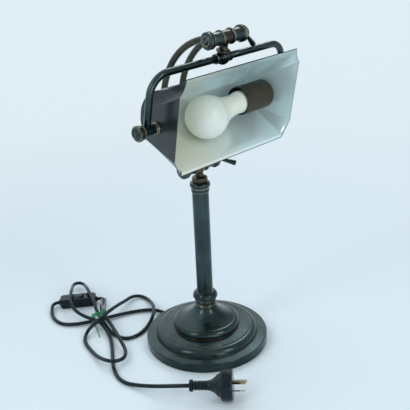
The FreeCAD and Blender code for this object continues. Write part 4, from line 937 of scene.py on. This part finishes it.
cupShape = [(19.1, 45.0), (20.0, 45.0), (20.0, 96.4, 12.6), (11.0, 104.8), (3.05, 104.8), (3.05, 103.9),
            (10.6, 103.9, -11.7), (19.1, 96.2)]
holderShape = [(14.6, 62.0), (16.6, 62.0), (17.2, 62.6), (17.2, 93.0), (12.0, 99.6), (0.0, 99.6), (0.0, 90.0),
               (14.6, 90.0)]
# a thin black sheet over the cup's inner wall: painted shade inside the cup's mouth
cupShadeLining = [(18.4, 44.6), (19.8, 44.6), (19.8, 44.95), (19.05, 45.0), (19.05, 92.0), (18.4, 92.0)]
bulbShape = {"seat": (84.0, 1.2, 1.1), "centre": (-22.5, -5.3, -4.8), "ball": 29.7, "wall": 1.6, "seam": 18.0,
             "gap": 0.05, "lip": 0.4, "lipHeight": 0.6, "land": 3.0,
             "cap": [(0.0, 0.0), (8.0, 0.0), (11.0, 2.0), (11.0, 25.0), (0.0, 25.0)],
             "neck": [(0.0, 25.1), (12.0, 25.1), (14.0, 27.3), (15.0, 33.0), (15.5, 41.0, -66.0)],
             "neckInside": [(14.4, 42.0), (13.6, 33.0), (0.0, 33.0)], "bow": 74.0}


def makeHolder():
    # the cup and the holder in it, round the shade's pivot axis; a black lining on the cup's inner wall is painted
    # shade in the cup's mouth
    gridPiece("socket_cup", "bakelite", turnedGrid(cupShape, axes["pivot"], toRight, 96))
    grids = [turnedGrid(outline, axes["pivot"], toRight, 96) for outline in (holderShape, cupShadeLining)]
    gridPiece("lampholder", "blackHolder", *grids, name="lampHolder")


def makeBulb():
    # cap, neck and globe round the line from the seat to the globe's centre, with a seam where neck and globe meet
    b = bulbShape
    seat, centre = np.array(b["seat"]), np.array(b["centre"])
    middle = np.linalg.norm(centre - seat)
    turn = tilt @ aimed(centre - seat)
    place = np.array(axes["pivot"]) + tilt @ seat
    seam = middle - b["seam"]
    ball, inner, pole = b["ball"], b["ball"] - b["wall"], middle + b["ball"]
    rim, innerRim = [math.sqrt(radius ** 2 - (b["seam"] - b["gap"]) ** 2) for radius in (ball, inner)]
    out, land = rim + b["lip"], rim - b["land"]
    neck = [*b["neck"], (out, seam - b["lipHeight"]), (out, seam), (land, seam), (land, seam - b["land"], b["bow"]),
            *b["neckInside"]]
    globe = [(rim, seam + b["gap"], ball), (ball, middle, ball), (ball * 0.8, middle + ball * 0.6, ball), (0.0, pole),
             (0.0, pole - b["wall"], -inner), (inner * 0.8, middle + inner * 0.6, -inner), (inner, middle, -inner),
             (innerRim, seam + b["gap"])]
    gridPiece("bulb_cap", "aluminium", turnedGrid(b["cap"], place, turn))
    gridPiece("bulb_neck", "ivory", turnedGrid(neck, place, turn, 96))
    gridPiece("bulb_globe", "opal", turnedGrid(globe, place, turn, 120, step=1.5))


# Inline switch

# insets and heights of the half cases' rings in millimetres: the seam, the rim's border, and the window's steps down
switchShape = {"place": (-72.7, 239.35), "turn": -38.316, "half": 30.5, "width": 11.0, "height": 17.0, "foot": 0.3,
               "split": 8.5, "gap": 0.05, "corner": 7.0, "seam": 2.0, "bevel": 0.35, "rim": 2.6, "border": 0.6,
               "window": (9.7, 6.2), "windowCorner": 0.6,
               "windowSteps": ((0.7, 0.0), (0.25, 0.0), (0.0, 0.25), (0.0, 3.4)),
               "collar": [(2.95, 30.0), (5.0, 30.0), (5.0, 32.5), (2.95, 32.5)]}
rockerShape = {"height": 13.6, "rest": -8.0, "half": 8.6, "width": 5.6, "crown": 5.2, "dip": 0.9, "spread": 7.0,
               "bevel": 0.5, "below": -1.5, "steps": 25}


def roundedRing(half, width, corner, count=12):
    # a rounded rectangle as points about the origin, the same number in each corner
    angle = np.linspace(0, math.pi / 2, count)
    ring = []
    for quarter, (sx, sy) in enumerate(((1, 1), (-1, 1), (-1, -1), (1, -1))):
        turn = angle + quarter * math.pi / 2
        ring.append(np.stack((sx * (half - corner) + corner * np.cos(turn),
                              sy * (width - corner) + corner * np.sin(turn)), 1))
    return np.concatenate(ring)


def stackGrid(rings, heights, place, turn):
    # rings of the same count at their heights, as one closed surface
    own = np.stack([np.column_stack((ring, np.full(len(ring), height))) for ring, height in zip(rings, heights)])
    return bareGrid(placed(own, turn, place), False)


def switchHalf(upper):
    # a half case: its side wall, its rounded rim, and its flat face, with a window in the upper one
    s = switchShape
    toward, far = (1.0, s["height"]) if upper else (-1.0, s["foot"])
    start = s["split"] + (s["gap"] if upper else 0.0)
    bend = np.radians(np.linspace(0, 90, 7))
    insets = [s["seam"], s["bevel"], 0.0, *(s["rim"] * (1 - np.cos(bend))), s["rim"] + s["border"]]
    heights = [start, start, start + toward * s["bevel"], *(far - toward * s["rim"] * (1 - np.sin(bend))), far]
    rings = [roundedRing(s["half"] - inset, s["width"] - inset, s["corner"] - inset) for inset in insets]
    if upper:
        for size, drop in s["windowSteps"]:
            rings.append(roundedRing(s["window"][0] + size, s["window"][1] + size, s["windowCorner"] + size))
            heights.append(far - drop)
    rings = [rings[0] * 0.0, *rings, rings[-1] * 0.0]
    return rings, [heights[0], *heights, heights[-1]]


def rockerGrid(turn):
    # the rocker: its crown dips in the middle by a parabola times a bell curve, over a block that goes into the case
    r = rockerShape
    own = turn @ turnMatrix("Y", r["rest"])
    along = np.linspace(-r["half"], r["half"], r["steps"])
    crown = r["crown"] - r["dip"] * (1 - (along / r["half"]) ** 2) * np.exp(-(along / r["spread"]) ** 2)
    width, bevel = r["width"], r["bevel"]
    section = [(-width, crown - bevel), (-width + bevel, crown), (width - bevel, crown), (width, crown - bevel),
               (width, np.full_like(along, r["below"])), (-width, np.full_like(along, r["below"]))]
    rings = np.stack([np.stack((along, np.full_like(along, y), z), 1) for y, z in section], 1)
    ends = [rings[:1].copy(), rings[-1:].copy()]
    for end in ends:
        end[:, :, 1:] = end[:, :, 1:].mean(1, keepdims=True)
    rings = np.concatenate((ends[0], rings, ends[1]))
    return bareGrid(placed(rings, own, (*switchShape["place"], r["height"])), False)


def makeSwitch():
    # two half cases, the upper one with the collars where the cord goes in, and the rocker
    s = switchShape
    turn = turnMatrix("Z", s["turn"])
    middle = (*s["place"], s["height"] / 2)
    collars = [turnedGrid(s["collar"], middle, turn @ way, 48) for way in (toRight, toLeft)]
    upper, lower = [list(stackGrid(*switchHalf(above), (*s["place"], 0.0), turn)) for above in (True, False)]
    lower[1] = lower[1][:, ::-1]
    gridPiece("switch_upper", "blackPlastic", upper, *collars)
    gridPiece("switch_lower", "blackPlastic", lower)
    gridPiece("switch_rocker", "blackPlastic", rockerGrid(turn))


# Plug

# the direction that the plug's axis points, from the cord to the pins
plugShape = {"place": (-123.9, -87.9, 20.4), "aim": (0.641, -0.767, 0.038)}
relief = [(0.0, 0.0), (7.6, 0.0), (8.5, 1.0), (8.5, 4.2), (7.4, 5.4), (5.8, 6.0)]
reliefRibs = {"from": 7.4, "pitch": 4.3, "count": 4, "rib": [(5.8, 0.0), (6.9, 0.4), (6.9, 2.6), (5.8, 3.0)]}
plugNose = [(6.9, 25.0), (7.1, 27.0, -18.0), (12.5, 36.9, 12.0), (16.6, 43.0), (17.4, 43.7), (20.4, 44.2, 3.4),
            (22.0, 47.0), (22.0, 58.0, 3.4), (19.8, 61.0), (0.0, 61.0)]


def makePlug():
    # the ribbed relief and the nose with its round face as one turned piece; the pins are the solids' own
    ribs = []
    for rib in range(reliefRibs["count"]):
        low = reliefRibs["from"] + rib * reliefRibs["pitch"]
        ribs += [(radius, low + height) for radius, height in reliefRibs["rib"]]
    outline = relief + ribs + plugNose
    gridPiece("plug_body", "blackPlastic", turnedGrid(outline, plugShape["place"], aimed(plugShape["aim"]), 96))


# Tie round the crossing of the cord: a flat strip with a wire core, in millimetres

tieShape = {"width": 3.0, "thick": 0.35, "core": 0.6, "toward": (0.64, 0.66, -0.40), "tailWidth": 1.5}
tieTurns = [
    [(-93.0, 167.4, 3.0), (-94.2, 166.9, 13.0), (-91.3, 168.6, 19.0), (-87.7, 166.1, 20.2), (-86.1, 161.8, 20.4),
     (-81.7, 161.7, 23.0), (-79.1, 159.0, 24.6), (-78.4, 155.4, 23.2), (-74.4, 158.2, 13.0), (-75.1, 162.8, 3.0),
     (-78.2, 165.8, 1.5), (-87.6, 167.2, 1.5)],
    [(-96.1, 169.0, 5.0), (-98.3, 167.3, 14.0), (-94.4, 170.5, 18.5), (-92.6, 164.7, 19.6), (-92.4, 156.5, 19.4),
     (-86.9, 157.5, 21.4), (-83.4, 156.9, 23.6), (-82.6, 152.3, 22.6), (-77.3, 157.4, 12.0), (-78.1, 161.6, 3.0),
     (-81.6, 164.1, 1.5), (-91.3, 167.8, 1.5)]]
tieTail = [(-92.0, 170.0, 1.0), (-97.9, 160.6, 0.9), (-104.0, 147.5, 0.9), (-108.3, 139.1, 0.9),
           (-113.1, 130.2, 0.8)]
tieEnds = [
    [(-79.9, 160.3, 22.7), (-80.1, 160.6, 29.9), (-80.1, 160.7, 37.4), (-80.2, 160.8, 45.3)],
    [(-78.3, 157.6, 23.1), (-77.6, 156.4, 29.5), (-77.0, 155.2, 38.1), (-76.4, 154.3, 47.4)]]
# the strip's section: across in half widths, through in half thicknesses, and the ridge over the core
tieSection = np.array([(-1, -1, 0), (-0.25, -1, 0), (0, -1, -1), (0.25, -1, 0), (1, -1, 0),
                       (1, 1, 0), (0.25, 1, 0), (0, 1, 1), (-0.25, 1, 0), (-1, 1, 0)], float)


def cornersCut(path, closed, rounds=3):
    # each round puts two points at a quarter and three quarters of every run
    path = np.array(path, float)
    for _ in range(rounds):
        start, end = (path, np.roll(path, -1, 0)) if closed else (path[:-1], path[1:])
        cut = np.stack((start * 0.75 + end * 0.25, start * 0.25 + end * 0.75), 1).reshape(-1, 3)
        path = cut if closed else np.concatenate((path[:1], cut, path[-1:]))
    return path


def ribbonGrid(path, width, closed):
    # a strip along the path that turns its flat side toward one way: its width lies square to the path and that way
    s = tieShape
    path = cornersCut(path, closed)
    way = np.roll(path, -1, 0) - np.roll(path, 1, 0) if closed else np.gradient(path, axis=0)
    if not closed:
        path = np.concatenate((path[:1], path, path[-1:]))
        way = np.concatenate((way[:1], way, way[-1:]))
    flat = np.cross(way, s["toward"])
    flat /= np.linalg.norm(flat, axis=1, keepdims=True)
    face = np.cross(flat, way)
    face /= np.linalg.norm(face, axis=1, keepdims=True)
    size = np.ones((len(path), 1, 1))
    if not closed:
        size[[0, -1]] = 0.0
    across, through, ridge = tieSection[:, :1], tieSection[:, 1:2], tieSection[:, 2:]
    out = flat[:, None] * (across * width / 2)
    up = face[:, None] * (through * s["thick"] / 2 + ridge * s["core"] * width / 8)
    return bareGrid((path[:, None] + (out + up) * size) * mm, closed)


def makeTie():
    # two green turns and a green tail, and two grey ends that stand up
    s = tieShape
    green = [ribbonGrid(turn, s["width"], True) for turn in tieTurns] + [ribbonGrid(tieTail, s["tailWidth"], False)]
    grey = [ribbonGrid(end, s["width"], False) for end in tieEnds]
    points, faces, worn, grime = joinedGrids(green + grey)
    faceLooks = np.zeros(len(faces), int)
    faceLooks[sum(len(grid[1]) for grid in green):] = 1
    piece = newPiece("twistTie", points, faces, ["greenTie", "tieCore"], faceLooks, None, 35.0)
    standFor(closeSeams(piece), "bundle_tie")


# Cord

leadRoute = [
    (0, 0.1005, 0.006), (0.0003, 0.112, 0.0052), (-0.006, 0.129, 0.0038), (-0.025, 0.143, 0.0038),
    (-0.051, 0.155, 0.0044), (-0.079, 0.166, 0.0044), (-0.106, 0.1785, 0.0044), (-0.1215, 0.1905, 0.0039),
    (-0.1305, 0.203, 0.0033), (-0.1328, 0.2165, 0.0032), (-0.1308, 0.2305, 0.0032), (-0.1255, 0.243, 0.0034),
    (-0.1182, 0.2538, 0.0048), (-0.1117, 0.2614, 0.0064), (-0.1071, 0.2633, 0.0073), (-0.1021, 0.2626, 0.008),
    (-0.0982, 0.2595, 0.0085)]
loopsRoute = [
    (-0.0472, 0.2192, 0.0085), (-0.0417, 0.2149, 0.0085), (-0.0417, 0.2079, 0.0086), (-0.0485, 0.2005, 0.0092),
    (-0.0646, 0.1884, 0.011), (-0.0766, 0.1646, 0.0124), (-0.0832, 0.1439, 0.0124), (-0.0931, 0.1182, 0.0136),
    (-0.1044, 0.0909, 0.0136), (-0.1093, 0.0755, 0.009), (-0.1138, 0.065, 0.007), (-0.1209, 0.0552, 0.0076),
    (-0.1328, 0.0451, 0.01), (-0.1465, 0.0429, 0.0132), (-0.1553, 0.0521, 0.0132), (-0.1551, 0.0709, 0.0088),
    (-0.1525, 0.087, 0.005), (-0.1482, 0.105, 0.0034), (-0.1415, 0.1305, 0.0032), (-0.1318, 0.1443, 0.0036),
    (-0.1212, 0.1507, 0.007), (-0.113, 0.1494, 0.0132), (-0.1057, 0.146, 0.0186), (-0.0944, 0.1475, 0.021),
    (-0.0775, 0.1532, 0.021), (-0.0599, 0.1596, 0.0186), (-0.0368, 0.1687, 0.014), (-0.022, 0.1745, 0.01),
    (-0.0017, 0.1823, 0.0065), (0.0107, 0.1781, 0.0046), (0.0153, 0.1649, 0.0036), (0.0108, 0.1472, 0.0048),
    (0.0014, 0.1298, 0.0095), (-0.012, 0.1112, 0.0132), (-0.0253, 0.0988, 0.0132), (-0.0376, 0.0942, 0.006),
    (-0.0532, 0.0891, 0.0032), (-0.0721, 0.0852, 0.0032), (-0.0865, 0.0892, 0.0032), (-0.0935, 0.0991, 0.0032),
    (-0.0948, 0.1172, 0.0032), (-0.0905, 0.1368, 0.0042), (-0.0881, 0.1493, 0.0072), (-0.0861, 0.1606, 0.0106),
    (-0.0823, 0.1728, 0.0156), (-0.076, 0.1871, 0.0215), (-0.0663, 0.2071, 0.0238), (-0.0534, 0.236, 0.0238),
    (-0.0448, 0.2525, 0.0185), (-0.0381, 0.2646, 0.013), (-0.0326, 0.2756, 0.0095), (-0.0331, 0.2853, 0.0098),
    (-0.0411, 0.2903, 0.0102), (-0.0488, 0.2876, 0.01), (-0.0627, 0.2695, 0.017), (-0.0754, 0.2538, 0.0236),
    (-0.0945, 0.2309, 0.0236), (-0.1002, 0.2192, 0.019), (-0.1029, 0.2046, 0.0144), (-0.1013, 0.1852, 0.0124),
    (-0.098, 0.16915, 0.0124), (-0.0947, 0.1531, 0.0124), (-0.0965, 0.1376, 0.009), (-0.1014, 0.1205, 0.0054),
    (-0.1109, 0.1035, 0.0034), (-0.1242, 0.0842, 0.0032), (-0.1409, 0.0627, 0.0032), (-0.1562, 0.0412, 0.0032),
    (-0.1652, 0.0197, 0.0032), (-0.1654, 0.0018, 0.0032), (-0.1586, -0.0176, 0.0056), (-0.1511, -0.039, 0.0104),
    (-0.1422, -0.0592, 0.0156), (-0.1338, -0.0751, 0.0192), (-0.1239, -0.0879, 0.0204)]
cordShape = {"diameter": 0.0058, "leadLength": 0.255, "loopsLength": 1.299, "along": 10, "round": 5}


def splineCurve(name, route, radius, look):
    # a round cord along a quadratic spline that the route's points shape, from its first to its last
    curve = bpy.data.curves.new(name, "CURVE")
    curve.dimensions = "3D"
    spline = curve.splines.new("NURBS")
    spline.points.add(len(route) - 1)
    for point, place in zip(spline.points, route):
        point.co = (*place, 1.0)
    spline.order_u = 3
    spline.use_endpoint_u = True
    spline.resolution_u = cordShape["along"]
    curve.bevel_depth = radius
    curve.bevel_resolution = cordShape["round"]
    curve.use_fill_caps = True
    curve.materials.append(looks[look])
    piece = bpy.data.objects.new(name, curve)
    bpy.context.scene.collection.objects.link(piece)
    return piece


def makeCords():
    # the lead from the base to the switch, and the loops from the switch to the plug
    radius = cordShape["diameter"] / 2
    lead = standFor(splineCurve("baseLead", leadRoute, radius, "cable"), "cord_base_lead")
    loops = standFor(splineCurve("loopedCord", loopsRoute, radius, "cable"), "cord_loops", "cord_plug_lead")


makeBase()
for level in ("lower", "upper"):
    makeFrictionJoint(level)
makeArms()
makeYoke()
print("stand, arms and yoke made")
makeTrough()
makeEndPanels()
makeHolder()
makeBulb()
print("shade and bulb made")
makeSwitch()
makePlug()
makeTie()
makeCords()
print("cord made")

# solids that stay as they are, in a finish of the scene's
carriedOver = {
    "base_weight": "castIron", "felt_pad": "felt", "rod_washer": "steel", "rod_nut": "steel", "tie_rod": "steel",
    "inner_lead": "cable", "switch_screws": "steel", "plug_pins": "pinBrass",
    "plug_sleeves": "blackPlastic", "lower_bolt": "steel", "upper_bolt": "steel", "pivot_pin_left": "steel",
    "pivot_pin_right": "steel", "holder_contacts": "pinBrass"}
for node, look in carriedOver.items():
    mesh = frame["nodes"][node].data
    mesh.materials.clear()
    mesh.materials.append(looks[look])
